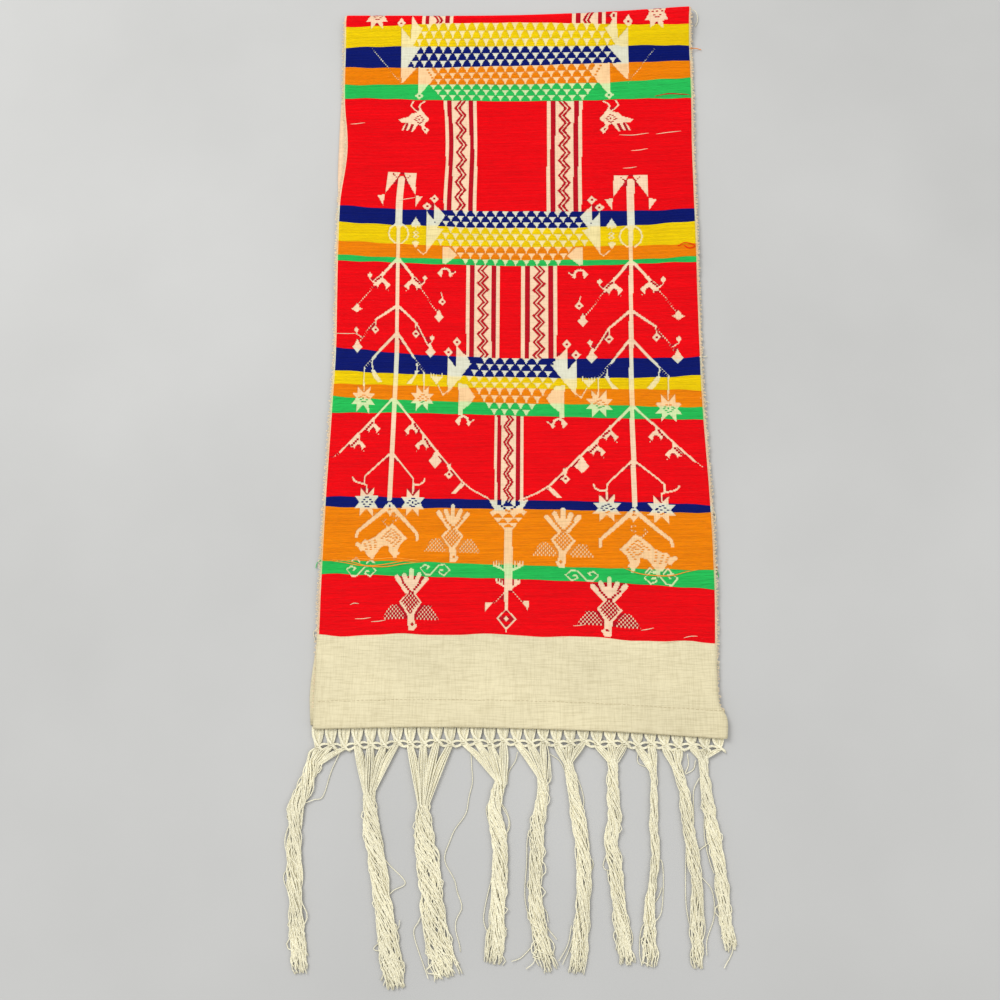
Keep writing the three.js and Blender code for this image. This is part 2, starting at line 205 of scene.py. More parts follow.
def fold_top(u):
    """The height of the cloth's middle at the fold, which lifts towards the right corner."""
    return FOLD_HEIGHT + CORNER_LIFT * ease((u - CORNER_START) / (1 - CORNER_START)) - THICKNESS / 2


def upper_z(x, y, u):
    """The height of the upper layer's middle, which comes down from the fold and rises over the hem."""
    from_fold = (fold_y(u) - FOLD_DEPTH - y) / FOLD_SETTLE
    fold_rise = (fold_top(u) - UPPER_LEVEL) * (1 - ease(from_fold))
    from_hem = (y - hem_y(u) - HEM_DEPTH) / HEM_SETTLE
    hem_rise = LAYER_STEP * (1 - ease(from_hem))
    quiet = ease(from_fold) * ease(from_hem)
    return UPPER_LEVEL + fold_rise + hem_rise + (swell(x, y) + ripple(x, y)) * quiet


def middle(t, u):
    """The middle of the cloth's thickness at a distance t from the fold."""
    t, u = np.broadcast_arrays(np.asarray(t, float), np.asarray(u, float))
    turn = np.clip(t / FOLD_DEPTH, -1, 1)
    angle = math.pi / 2 * (1 + turn)
    start = fold_y(u) - FOLD_DEPTH
    y = start + (FOLD_DEPTH - THICKNESS / 2) * np.sin(angle) - np.maximum(np.abs(t) - FOLD_DEPTH, 0)
    share = angle / math.pi
    x = mix(edge_x(LOWER_OUTLINE, y, u), edge_x(UPPER_OUTLINE, y, u), share)
    z = LOWER_LEVEL + (fold_top(u) - LOWER_LEVEL) * (1 - np.cos(angle)) / 2
    z = np.where(t >= FOLD_DEPTH, upper_z(x, y, u), z)
    return np.stack([x, y, z], axis=-1)


def outward(t, u):
    """The cloth's outward direction: up on the upper layer, down beneath."""
    step = 0.4
    run = middle(t + step, u) - middle(t - step, u)
    normal = np.stack([np.zeros(run.shape[:-1]), run[..., 2], -run[..., 1]], axis=-1)
    return normal / np.linalg.norm(normal, axis=-1, keepdims=True)


# The chart of the weave: one row for each pick of weft and two columns for each cell.
STRIPE_COLOUR = [row[0] for row in STRIPES]
EDGES = np.array([FOLD_EDGE["y"]] + [row[2:] for row in STRIPES])
PICK_STRIPE = np.concatenate([[index] * row[1] for index, row in enumerate(STRIPES)])
PICK_SHARE = np.concatenate([(np.arange(row[1]) + 0.5) / row[1] for row in STRIPES])
HALF_CELL = CELL / 2
COLUMN_X = (np.arange(2 * (CELLS_LEFT + CELLS_RIGHT)) + 0.5) * HALF_CELL - CELLS_LEFT * CELL


def stripe_y(edge, u):
    """The y of an edge between two stripes, through its three measured places and with small waves."""
    left, centre, right = EDGES[edge].T
    wave = np.where(edge == 0, 0.0, STRIPE_WAVE) * np.sin(edge * 2.3 + u * 5.2) * u * u
    wave += np.where(edge == len(STRIPES), HEM_WAVE, INNER_WAVE) * np.sin(u * 13.0 + edge * 1.1)
    wave += np.where(edge == 0, 0.0, FINE_WAVE) * np.sin(u * 31.0 + edge * 1.9) * (0.3 + 0.7 * u * u)
    return centre + (right - left) / 2 * u + ((right + left) / 2 - centre) * u * u + wave


def pick_y(stripe, share, u):
    """The y of a pick that lies at a share of its stripe."""
    return mix(stripe_y(stripe, u), stripe_y(stripe + 1, u), share)


def column_u(x, y):
    """Turns a place across the design into u, at a place y down the cloth."""
    left = smooth(UPPER_OUTLINE["y"], UPPER_OUTLINE["left"], y)
    right = smooth(UPPER_OUTLINE["y"], UPPER_OUTLINE["right"], y)
    centre = np.interp(y, CENTRE_LINE["y"], CENTRE_LINE["x"])
    pitch_left = (centre - left - SELVEDGE) / (CELLS_LEFT * CELL)
    pitch_right = (right - SELVEDGE - centre) / (CELLS_RIGHT * CELL)
    across = centre + x * np.where(x < 0, pitch_left, pitch_right)
    return 2 * (across - left) / (right - left) - 1


PICK_Y = -pick_y(PICK_STRIPE, PICK_SHARE, DESIGN_U)


class Pen:
    """Draws on the chart from an anchor. side -1 mirrors, lean slants and wide stretches the drawing."""

    chart = np.zeros((len(PICK_Y), len(COLUMN_X)), bool)

    def __init__(self, x=0.0, y=0.0, side=1, lean=0.0, wide=1.0):
        self.x, self.y, self.side, self.lean, self.wide = x, y, side, lean, wide

    @classmethod
    def moved(cls, origin, centre, side):
        """A pen that draws what was charted around origin around centre instead."""
        return cls(centre[0] - side * origin[0], centre[1] - origin[1], side)

    def place(self, points):
        spots = np.array(points, float)
        down = spots[:, 1] + self.y
        across = self.x + self.side * self.wide * spots[:, 0] + self.lean * down
        return np.stack([across, down], axis=1)

    def window(self, low, high):
        rows = np.flatnonzero((PICK_Y >= low[1]) & (PICK_Y <= high[1]))
        columns = np.flatnonzero((COLUMN_X >= low[0]) & (COLUMN_X <= high[0]))
        return np.ix_(rows, columns), *np.meshgrid(COLUMN_X[columns], PICK_Y[rows]), rows, columns

    def mark(self, where, mask, rows, columns, show, checks):
        """Shows or hides the ground in the masked cells, or in every other one of them."""
        if checks:
            mask &= (rows[:, None] // 2 + columns[None, :] // 2) % 2 == 0
        cells = self.chart[where]
        cells[mask] = show
        self.chart[where] = cells

    def polygon(self, points, show=True, checks=False):
        spots = self.place(points)
        where, x, y, rows, columns = self.window(spots.min(axis=0), spots.max(axis=0))
        mask = np.zeros(x.shape, bool)
        for (x1, y1), (x2, y2) in zip(spots, np.roll(spots, -1, axis=0)):
            if y1 != y2:
                crosses = (y1 > y) != (y2 > y)
                mask ^= crosses & (x < (x2 - x1) * (y - y1) / (y2 - y1) + x1)
        self.mark(where, mask, rows, columns, show, checks)

    def line(self, points, width, end=None, show=True, checks=False):
        spots = self.place(points)
        reach = max(width, end or 0)
        where, x, y, rows, columns = self.window(spots.min(axis=0) - reach, spots.max(axis=0) + reach)
        runs = np.hypot(*(spots[1:] - spots[:-1]).T)
        whole = runs.sum()
        mask = np.zeros(x.shape, bool)
        done = 0.0
        for (x1, y1), (x2, y2), run in zip(spots[:-1], spots[1:], runs):
            along = np.clip(((x - x1) * (x2 - x1) + (y - y1) * (y2 - y1)) / run**2, 0, 1)
            away = np.hypot(x - mix(x1, x2, along), y - mix(y1, y2, along))
            here = mix(width, width if end is None else end, (done + along * run) / whole)
            mask |= away < here / 2
            done += run
        self.mark(where, mask, rows, columns, show, checks)

    def diamond(self, x, y, wide, tall, show=True, checks=False):
        self.polygon([(x - wide, y), (x, y - tall), (x + wide, y), (x, y + tall)], show, checks)

    def ring(self, x, y, wide, tall, band):
        self.diamond(x, y, wide, tall)
        self.diamond(x, y, wide - band, tall - band, show=False)

    def eyed(self, x, y, wide, tall):
        """A diamond with a small square of weft in its middle."""
        self.diamond(x, y, wide, tall)
        self.polygon([(x - 0.9, y - 1), (x + 0.9, y - 1), (x + 0.9, y + 1), (x - 0.9, y + 1)], show=False)

    def dots(self, points, step=3.8, tall=2):
        """Small squares of weft in a row along a line, each tall picks high."""
        spots = self.place(points)
        along = np.concatenate([[0], np.cumsum(np.hypot(*(spots[1:] - spots[:-1]).T))])
        for place in np.arange(step / 2, along[-1], step):
            column = np.argmin(np.abs(COLUMN_X - np.interp(place, along, spots[:, 0])))
            row = np.argmin(np.abs(PICK_Y - np.interp(place, along, spots[:, 1])))
            self.chart[row:row + tall, column:column + 2] = False

    def dot_ring(self, x, y, wide, tall, step):
        top = (x, y - tall)
        self.dots([top, (x + wide, y), (x, y + tall), (x - wide, y), top], step, 1)


TRIANGLE_PITCH = 6 * CELL
TRIANGLE_TIP = 1.0
TRIANGLE_SLOPE = 5.6
TRIANGLE_BOW = 2.0


def triangle_rows(stripe, counts, trend, middle_x):
    """Fills a stripe with rows of triangles that stand on their bases. counts gives each row's number."""
    picks = np.flatnonzero(PICK_STRIPE == stripe)
    place = PICK_SHARE[picks] * len(counts)
    row = np.floor(place).astype(int)
    within = (place - row)[:, None]
    count = np.array(counts)[row][:, None]
    reach = (count + trend * (1 - within)) * TRIANGLE_PITCH / 2
    across = (COLUMN_X[None, :] - middle_x) / TRIANGLE_PITCH + 0.5 * ((count + 1) % 2)
    away = np.abs(across - np.round(across)) * TRIANGLE_PITCH
    field = np.abs(COLUMN_X[None, :] - middle_x) < reach
    cells = Pen.chart[picks]
    cells[field] = (away >= TRIANGLE_TIP + within * (TRIANGLE_SLOPE - TRIANGLE_BOW * within))[field]
    Pen.chart[picks] = cells


# A ladder's cells across, those of each post, and where its panel starts and ends.
LADDER_CELLS = 17
POST_CELLS = 2
PANEL_START = 4
PANEL_END = 13
ZIGZAG_SWING = 1.5
LADDER_LAP = 4


def draw_ladder(stripes, top, bottom, period, start, side=1):
    """Two cream posts with a zigzag panel between them. top and bottom give left, right and y."""
    for pick in np.flatnonzero(np.isin(PICK_STRIPE, stripes) & (PICK_Y < bottom[2])):
        share = (PICK_Y[pick] - top[2]) / (bottom[2] - top[2])
        left = mix(top[0], bottom[0], share)
        right = mix(top[1], bottom[1], share)
        cell = (COLUMN_X - left) / (right - left) * LADDER_CELLS
        swing = ZIGZAG_SWING * side * (2 * abs(2 * ((PICK_Y[pick] - start) / period % 1) - 1) - 1)
        away = np.abs(np.abs(cell - LADDER_CELLS / 2 - swing) - 1.0)
        ladder = (cell >= 0) & (cell < LADDER_CELLS)
        posts = ladder & ((cell < POST_CELLS) | (cell >= LADDER_CELLS - POST_CELLS))
        panel = (cell >= PANEL_START) & (cell < PANEL_END) & (away > 0.5)
        Pen.chart[pick, ladder] = False
        Pen.chart[pick, posts | panel] = True


# Sails and fields of the three ships: one side's points, mirrored for the other.
SAILS = (
    [
        (-117.5, 14.7), (-107, 31.2), (-104.8, 40.6), (-95.7, 41.7), (-110.1, 65), (-99.8, 66.1),
        (-113.6, 86), (-116.8, 88.2),
    ],
    [(-106.4, 3.4), (-105, 3.6), (-96.4, 16.5), (-93.1, 16.6), (-104.8, 42.1), (-106.9, 32.3)],
    [(-99, 65.2), (-84.2, 67.4), (-79.2, 76.2), (-84, 85.4), (-94.9, 101.3), (-98.6, 102.4)],
    [(-86.9, 243.1), (-79.8, 252.6), (-74.8, 263.1), (-68.6, 264.7), (-86.9, 292.8)],
    [(-79.1, 235.4), (-77.1, 236.8), (-66.6, 248.4), (-74.8, 263.1), (-79.3, 253.3)],
    [(-70, 284.2), (-62.1, 284), (-53.7, 293.3), (-65.8, 304.4), (-69.7, 303.8)],
    [
        (-63.3, 406.1), (-54.4, 416.5), (-54.4, 395.4), (-52.9, 395.3), (-43, 405.9), (-38.1, 412.7),
        (-62.2, 445.9),
    ],
    [
        (-51.6, 433.5), (-42.4, 434.6), (-33.8, 447.2), (-38.7, 455.4), (-46.2, 461.6), (-46.1, 467.5),
        (-50.8, 467.6),
    ],
)
SEAMS = (
    [(-89.9, 67.3), (-82.8, 80.3)],
    [(-41.7, 405.9), (-38.3, 412.7)],
    [(-40.5, 435.4), (-34.1, 443.8)],
)
SHIP_DIAMONDS = (
    (-117.1, 10.5), (-97.2, 104.7), (-78.8, 229.5), (-86.2, 238.4), (-62.1, 401.6), (-53.5, 390.4),
)

# Stripe, triangles in each of its rows, and whether the rows widen (-1) or narrow (1) going down.
FIELDS = (
    (1, (19, 20, 21), -1),
    (2, (20, 21, 22), -1),
    (3, (17, 16, 17), 1),
    (4, (16, 15, 14), 1),
    (6, (13, 14, 15), -1),
    (7, (14, 15, 16), -1),
    (8, (11, 10), 1),
    (9, (9,), 1),
    (11, (7, 8, 9), -1),
    (12, (10, 7), 1),
    (13, (6, 5), 1),
    (14, (4, 3), 1),
)
FIELD_MIDDLE = {"stripe": (1, 14), "x": (-0.6, 0.5)}

LADDERS = (
    # stripe, left, right and y at the top and at the bottom, the zigzag's length, and its first turn
    (0, (-95.3, -61.6, -4.5), (-95.1, -61.5, 16.9), 17.9, 9.6),
    (5, (-71.2, -35.9, 107.2), (-69, -34.8, 248.4), 17.9, 128.7),
    (10, (-44.9, -10.4, 305.9), (-44.5, -10.1, 411.7), 14.1, 317.9),
)
MIDDLE_LADDER = ((15, 16), (-14.8, 13.3, 467), (-13.5, 13.5, 557.9), 15.9, 470.2)

# One tree, from its trunk outwards (above zero) and inwards, and the distance from the fold.
TRUNK = ((0, 207, 7.8), (0, 261, 7.8), (0, 265, 4.4), (0, 553, 5.2))
FINS = ([(15.6, 199), (16.2, 226), (5, 207), (1.6, 199)], [(16, 226), (24, 227), (16.6, 240)])
FIN_SEAM = [(9.5, 201), (5, 206), (2, 203)]
RING = ((3.4, 260), (8.6, 265), (10.2, 271), (8.6, 277), (3.4, 282))
BRANCHES = (
    # points, width at the start and at the end, dotted
    ([(0, 298), (23.6, 331)], 3.6, 3, False),
    ([(0, 298), (-23, 331)], 3.6, 3, False),
    ([(23.6, 331), (39.8, 355)], 2.1, 2.1, True),
    ([(-23, 331), (-40.7, 359)], 2.1, 2.1, True),
    ([(0, 353), (22, 371)], 3.4, 2.6, False),
    ([(0, 353), (-20, 372)], 3.4, 2.6, False),
    ([(22, 371), (37.5, 396)], 2, 2, True),
    ([(-20, 372), (-32.4, 396)], 2, 2, False),
    ([(0, 383), (24.5, 413.8)], 3.4, 2.8, False),
    ([(0, 383), (-17.6, 408.6)], 3.4, 2.8, False),
    ([(24.5, 413.8), (32.1, 422.7)], 2.4, 2.4, True),
    ([(-17.6, 408.6), (-29, 423.8)], 2.4, 2.4, True),
    ([(32.3, 422.7), (31.3, 444.4)], 1.9, 1.9, False),
    ([(-28.6, 423.8), (-29.1, 445.9)], 1.9, 1.9, False),
    ([(24.7, 413.9), (23.5, 424.6)], 1.9, 1.9, False),
    ([(-21.1, 415), (-21.4, 422.8)], 1.9, 1.9, False),
    ([(1.9, 452), (51.6, 507.6)], 2.9, 2.3, False),
    ([(51.6, 507.6), (57.1, 511.8)], 2, 1.6, True),
    ([(0, 451.5), (-70, 534.6)], 3, 2.3, False),
    ([(-70, 534.6), (-79.5, 542.2), (-95.7, 550.8)], 2, 1.8, False),
    ([(0.5, 507.3), (25, 531.2), (25.2, 539.4), (22.5, 541.2), (22.2, 548.1)], 2.4, 1.9, False),
    ([(24.9, 539.6), (30.9, 537.8), (35.4, 535.8), (37.1, 532.7)], 1.9, 2.2, False),
    ([(-0.8, 507.3), (-22, 531.9), (-22.9, 539.2), (-22.6, 547.4)], 2.4, 1.9, False),
    ([(-23.1, 538.9), (-29.1, 538.5), (-32.7, 535.9), (-33.5, 533)], 1.9, 2.2, False),
    ([(-45.5, 504.4), (-43.4, 509)], 2, 2, False),
    ([(-58.3, 517.6), (-57.4, 524.6)], 1.8, 1.8, False),
    ([(-0.1, 558.3), (29.4, 585.6), (30.3, 590.8)], 5, 3.4, False),
    ([(-1.4, 558.3), (-27.7, 586.1), (-28.2, 592.5)], 5, 3.4, False),
)
FLOWERS = (
    # kind, out, down, half width, half height
    ("diamond", 41.6, 360, 5.8, 4.4),
    ("diamond", -42.6, 364, 5.2, 6.2),
    ("eyed", -46, 347, 4.2, 5),
    ("bud", 28.7, 321, 2.8, 4),
    ("bud", -27.8, 321, 2.8, 4),
    ("diamond", 40.4, 403.3, 5.6, 6.4),
    ("diamond", -34.7, 402.5, 5.4, 6.6),
    ("eyed", 22.2, 382, 4.4, 5.2),
    ("eyed", -19.4, 383, 4.4, 5.2),
    ("bud", 41.6, 384, 2.8, 4),
    ("bud", -36, 387, 2.8, 4),
    ("diamond", -43.2, 514.5, 6.8, 7.6),
    ("eyed", -56.9, 528.1, 4.5, 4.8),
)
LEAVES = (
    [(25.5, 423.4), (21.4, 423.2), (12.7, 435.1), (17.8, 435.7), (23.6, 429.2)],
    [(-19.2, 422.3), (-24, 422), (-16.8, 436), (-10.9, 435.8), (-18.4, 427.1)],
    [(-69.2, 535.6), (-72.5, 538.3), (-64.5, 546.8), (-58.8, 547.6), (-63.9, 541.3)],
    [(3.8, 562.9), (-5.6, 562.8), (-1.2, 569.4)],
)
STARS = ((31.3, 453.1), (-28.1, 450.6), (21.9, 556.5), (-22.7, 556.3))
STAR = (
    (0, -6), (6.6, -14), (6.4, -5.6), (11.8, -5.2), (7.6, 0), (11.8, 5.2), (6.4, 5.6), (6.6, 14),
    (0, 6),
)
ANIMALS = (
    # out, down, the way that its longer side points, scale
    (15.9, 317, 1, 1.08),
    (-15, 317, -1, 1.08),
    (19.8, 471, 1, 0.94),
    (33.4, 488.7, 1, 0.94),
    (-18.9, 472, -1, 0.94),
    (-30, 487.7, -1, 0.94),
)
ANIMAL = (
    (0, 5), (3.4, 7.6), (8.2, 13.2), (5.4, 14.6), (4.2, 17.4), (2.5, 12.8), (0, 10.6), (-2.5, 12.6),
    (-3.4, 18.2), (-5.6, 15.4), (-8.3, 12.8), (-3.4, 7.6),
)
TREES = (
    # trunk's place at the fold, side, lean, how far down it sits, how wide its branches spread
    (-115, -1, 0, 0, 1),
    (119.9, 1, -0.0158, 2, 1.065),
)

CREST = [
    (-62.5, 571), (-44.1, 570.7), (-48.1, 581.6), (-42.3, 588), (-49.3, 599.8), (-48.4, 607.3),
    (-46.1, 609.1), (-49, 614.1), (-55.1, 614.3), (-56.4, 600), (-64.6, 588.5), (-57.9, 581.7),
]
CREST_PRONGS = (
    [(-67.2, 565.7), (-57.4, 579.2)],
    [(-60.3, 563.9), (-55.9, 574.7)],
    [(-53.4, 559.7), (-53.2, 574.7)],
    [(-45.9, 563.4), (-50.5, 574.6)],
    [(-39.1, 566.8), (-48.8, 579)],
)
CREST_SEAMS = ([(-62.6, 569.1), (-53.6, 580)], [(-44, 569.4), (-53, 580)])
CREST_MIDDLE = (-53.4, 588.6)
CREST_EYE = (-51.4, 608.6)
WINGS = (
    [(-80.3, 604.4), (-73.6, 591.8), (-66.2, 590.8), (-58.8, 600.7), (-59.1, 604.1)],
    [(-25.7, 603.9), (-33.1, 591.3), (-40.5, 590.6), (-47.6, 600.4), (-46.9, 604.5)],
)
BIRD_FROM = (-53.2, 590)
# Centre of each bird and which way its tail points.
BIRDS = (
    ((-52.9, 590), 1),
    ((48.3, 591.4), -1),
    ((-90.8, 653.4), 1),
    ((87.7, 655.3), -1),
)

BEAST = [
    (-96.7, 591.5), (-102, 586.4), (-109.1, 578.4), (-112.5, 577.6), (-117.1, 580.6), (-121.9, 583.9),
    (-127.8, 589.9), (-135, 594), (-138.5, 593.3), (-141.3, 598.3), (-144.2, 596.3), (-146.5, 596.9),
    (-147.1, 600), (-143.8, 601.7), (-141.7, 605.6), (-138, 604.1), (-134.9, 610), (-132.1, 611.5),
    (-130.1, 616.5), (-128.2, 616.1), (-127.5, 609.6), (-124.4, 605.6), (-121.2, 600.4),
    (-115.1, 598.7), (-114.1, 605.6), (-111, 609.1), (-109.1, 613.4), (-106.5, 612.8), (-106.3, 609.5),
    (-103, 607.1), (-105.6, 604.1), (-102.9, 597.6),
]
BEAST_LINES = (
    [(-122.5, 592), (-112.7, 582.1), (-102.8, 591.6), (-110.1, 600.1)],
    [(-118.1, 591.9), (-112.5, 586.3), (-106.8, 591.7), (-111.7, 596.9), (-118.1, 591.9)],
    [(-113.9, 591.8), (-112.2, 590.3), (-110.5, 591.8)],
    [(-138.4, 596.9), (-135.6, 604)],
    [(-133.8, 594.9), (-131.1, 605.8)],
    [(-128.3, 592.2), (-127, 603.1)],
)
HORNS = (
    [(-116, 581.5), (-118.2, 577), (-121, 574.2), (-118.4, 571.8)],
    [(-111.6, 578.2), (-110.9, 574.1), (-107.5, 573.2), (-108.1, 569.6), (-110.7, 569.1)],
)
BEAST_FROM = (-112.4, 589.8)
BEASTS = (((-111.8, 589.7), 1), ((112.4, 595.5), -1))

SCROLL = [
    (-76.7, 621), (-74.1, 619.1), (-78.6, 617.3), (-82.8, 620.8), (-77.9, 626.2), (-73.1, 626),
    (-65.4, 617.4), (-60, 616.1), (-54.6, 621.3), (-60, 626.5), (-65.2, 623.9), (-63.8, 621),
    (-61, 621.9),
]
SCROLL_FROM = (-68.9, 621.6)
SCROLLS = (((-139.4, 624.5), 1), ((-68.7, 621.6), 1), ((64.7, 622.7), -1), ((132.2, 622.4), -1))
CHEVRONS = ((-144.7, 614.9), (-130.2, 615.8), (123, 616.4), (138.3, 617.5))

STEM = [
    (-3.6, 579.4), (4.5, 579.2), (5, 630), (4.8, 637.9), (1.7, 639.8), (1.8, 659), (-2, 659.1),
    (-2.3, 638.1), (-2.8, 630.3),
]
CUP = [
    (-19.5, 551.2), (-11.8, 553.2), (-10.5, 557), (10, 556.6), (10, 552.8), (18.5, 550.8), (13.1, 561),
    (17.2, 563.4), (4.5, 580.8), (-3.7, 581), (-18.4, 564), (-13.4, 561.4),
]
CUP_SEAM = [(-10, 555.1), (0.2, 563.1), (9.5, 555)]
CUP_PATCH = [(-4.6, 558.3), (-1.7, 554.5), (1.4, 554.4), (5, 558.1)]
# Middle and top of each row of triangles in the cup, its bottom, and how many.
CUP_ROWS = (((0.3, 564.7), 568.7, 3), ((0.3, 570.1), 574.1, 2), ((0.4, 575.3), 578.7, 1))
CUP_PITCH = 10.2
BRUSHES = (
    [(-12.9, 612.4), (-12.5, 615.4), (-2.7, 620)],
    [(13.7, 612.1), (13.3, 614.9), (4.7, 619.8)],
    [(-9.8, 629.3), (-9.4, 631.7), (-2.4, 635.7)],
    [(10.9, 629.2), (10.4, 631.7), (5, 636.1)],
)
PRONGS = (
    ((-10.4, 611.3), (-10.3, 616.2)), ((-8, 611.3), (-7.9, 617.4)), ((-5.6, 611.4), (-5.5, 618.3)),
    ((6.8, 611.4), (6.9, 617.8)), ((9, 611.3), (9.1, 616.8)), ((11.3, 611.2), (11.3, 615.7)),
    ((-7, 628.8), (-6.9, 633.1)), ((-4.6, 628.9), (-4.5, 634.6)),
    ((6.5, 628.8), (6.6, 634.2)), ((8.6, 628.5), (8.7, 632.9)),
)
STEM_FLAGS = (
    [(-20.2, 651.8), (-12.1, 651.6), (-20, 660.1)],
    [(12.8, 649.1), (19.3, 648.2), (19, 658.5)],
)
STEM_ARMS = ([(-2.3, 641.8), (-12.3, 652)], [(3.9, 639.1), (13.3, 649.7)])
STEM_DIAMOND = (0, 666.2)

# Snags, where a thin streak of the ground shows, and single picks that stray over the next stripe.
SNAGS = (
    [(-143.3, 666), (-135.6, 666.4), (-128, 665.6)],
    [(-127.9, 669.2), (-120.3, 668.9), (-113.7, 667.9)],
    [(-148.5, 654.1), (-144.7, 652.7), (-139.9, 653.2)],
    [(57, 670.8), (61.2, 670.5), (67.1, 669.4)],
    [(114.5, 670.9), (120.4, 669.9), (125.5, 668.4)],
    [(150.6, 678.1), (156.5, 676.2), (162.4, 675.4)],
    [(129.5, 683.2), (137.1, 681.4), (146.4, 680.7)],
    [(106.3, 154.1), (120.9, 154.5), (135.5, 152.8)],
    [(142.3, 153.7), (154, 151.8), (166.7, 151.1)],
    [(117.8, 172.5), (126.5, 172.2), (134.3, 170.7)],
    [(109.6, 193), (116.4, 192.8), (123.2, 191.7)],
    [(-173, 143.6), (-165.4, 143.1), (-156.7, 141.6)],
    [(-179.5, 390.4), (-168.2, 389.2), (-154.8, 388)],
    [(-115.8, 231.9), (-106.5, 229.8), (-98.3, 228.3)],
)
STRAY_PICKS = (
    ("orange", [
        (-169.9, 613), (-148.5, 616.4), (-131.9, 619.8), (-115.6, 620.2), (-99.4, 617), (-87.9, 615.6),
        (-78.4, 614.9),
    ]),
    ("orange", [
        (-169.9, 614.3), (-153.3, 617.6), (-140.1, 619.2), (-120.4, 618.7), (-101, 614.8),
        (-91.3, 613.1), (-81.4, 614.2),
    ]),
    ("orange", [(-153.5, 612.5), (-128.9, 613), (-104.4, 611.8), (-84.7, 613.3)]),
    ("orange", [
        (99.1, 614.2), (110.6, 618.3), (122, 619.8), (139.7, 620.1), (154.3, 616), (165.7, 614.1),
    ]),
    ("red", [(141.9, 108.3), (154.6, 105.5), (166.3, 106.4), (176, 107.7)]),
)
# Loose ends and fuzz along the edges, as points with a height.
LOOSE_THREADS = {
    "cream": (
        [(187, 1, 5), (195, -2, 3), (197, -11, 1), (194, -19, 1)],
        [(183, -561, 4), (187, -564, 1), (188, -571, 1), (185, -575, 1)],
        [(-184, -674, 4), (-189, -678, 1), (-187, -686, 1)],
        [(178, -699, 4), (183, -704, 1), (184, -711, 1), (182, -714, 1)],
        [(180, -407, 4), (185, -406, 2), (188, -405, 1)],
        [(179, -450, 4), (185, -453, 2), (188, -454, 1)],
    ),
    "orange": (
        [(186, -50, 5), (193, -48, 2), (199, -49, 1)],
        [(183, -616, 4), (187, -618, 1), (185, -625, 1)],
    ),
    "green": (
        [(183, -619, 4), (187, -621, 1), (188, -627, 1)],
        [(-185, -610, 4), (-189, -612, 1), (-190, -617, 1)],
    ),
    "red": (
        [
            (164, -286, 5.6), (170, -283, 6.2), (177, -284, 6.4), (181, -287, 6.2), (175, -289, 6),
            (170, -286, 6.4),
        ],
    ),
}

# The small figures, mirrored from one side to the other.
HANGING = [
    (-97.5, 120.9), (-95.4, 120.8), (-92.8, 125.5), (-86.9, 134.1), (-91.8, 138.9), (-92.8, 142.1),
    (-87.2, 147.1), (-89.3, 149), (-90.8, 152.2), (-93.5, 149.9), (-96.1, 145.3), (-96.4, 142.2),
    (-99.4, 140.7), (-105.2, 149.5), (-107.7, 149.5), (-106.4, 145.6), (-104.2, 140.8), (-106.3, 140.1),
    (-110.4, 148.8), (-113.5, 148.9), (-110.8, 142.6), (-110.1, 139.4), (-111.7, 139), (-115.5, 149),
    (-118, 148.6), (-116, 143.5), (-113.1, 139.5), (-117.3, 139.6), (-120.6, 135.8), (-114.3, 133.2),
    (-110.2, 132.3), (-105.9, 127.4), (-99, 125.3),
]
HANGING_TIES = (
    [(-103.4, 112.2), (-106, 117.6), (-103, 121.8), (-99, 125.3)],
    [(-91.5, 112), (-95.7, 115.2), (-97.4, 118.5), (-95.9, 122.1), (-95.4, 125.6)],
)
HANGING_RING = (-98.1, 134.3)
HANGING_EYE = (-92.4, 146.3)
HOOK_EYES = ((66, 307.5), (45.1, 466.4))
HOOK_ARCH = ((-5.1, 9.4), (-3.6, 3.9), (0, 1.7), (4.4, 3.2))
HOOK_FOOT = ((3, 1.6), (8.9, 6.5), (4.2, 12.3), (2.7, 7.1))
HOOK_TAIL = ((-4.2, 7.8), (-7, 8), (-10.2, 5.2))
SPADE = [
    (-97.4, 251.1), (-92, 260.6), (-93.9, 263.9), (-95.9, 262.5), (-97.2, 266.9), (-98.6, 262.6),
    (-100.5, 264.2), (-103, 261.1),
]
SPADE_RINGS = ((-97.2, 269.7), (-97.1, 273.7))
SPADE_HEART = [
    (-101.6, 279.9), (-97.4, 278), (-93.1, 279.6), (-95, 283.6), (-97.3, 286.9), (-99.6, 283.8),
]
COMB = [(-79.8, 428), (-67, 427.5), (-73.4, 436.2)]
COMB_TEETH = ((-79.4, 425.1), (-76.4, 425.7), (-73.8, 426.1), (-71, 425.5), (-67.7, 424.6))
FLOWER_STEMS = (
    [(-94.9, 288), (-89.6, 293.3), (-85.7, 290.6)],
    [(-71.8, 436.2), (-66.4, 446.5), (-61.4, 441.8)],
)
TOP_DIAMOND = (102.6, 6.1)
TOP_STARS = ((-143.7, 3.2), (145.3, 4.7))
STEM_TO_STAR = (
    [(-115.9, 89), (-132.3, 64.1), (-148, 43.2)],
    [(114.8, 93), (129, 71.8), (143, 46.2)],
)


def mirrored(points, side):
    return [(side * x, y) for x, y in points]


def draw_star(pen, x, y):
    half = [(x + out, y + down) for out, down in STAR]
    other = [(x - out, y + down) for out, down in STAR[::-1]]
    pen.polygon(half + other)
    pen.dot_ring(x, y, 4.9, 4.4, 2.65)
    pen.diamond(x, y, 0.9, 0.9, show=False)


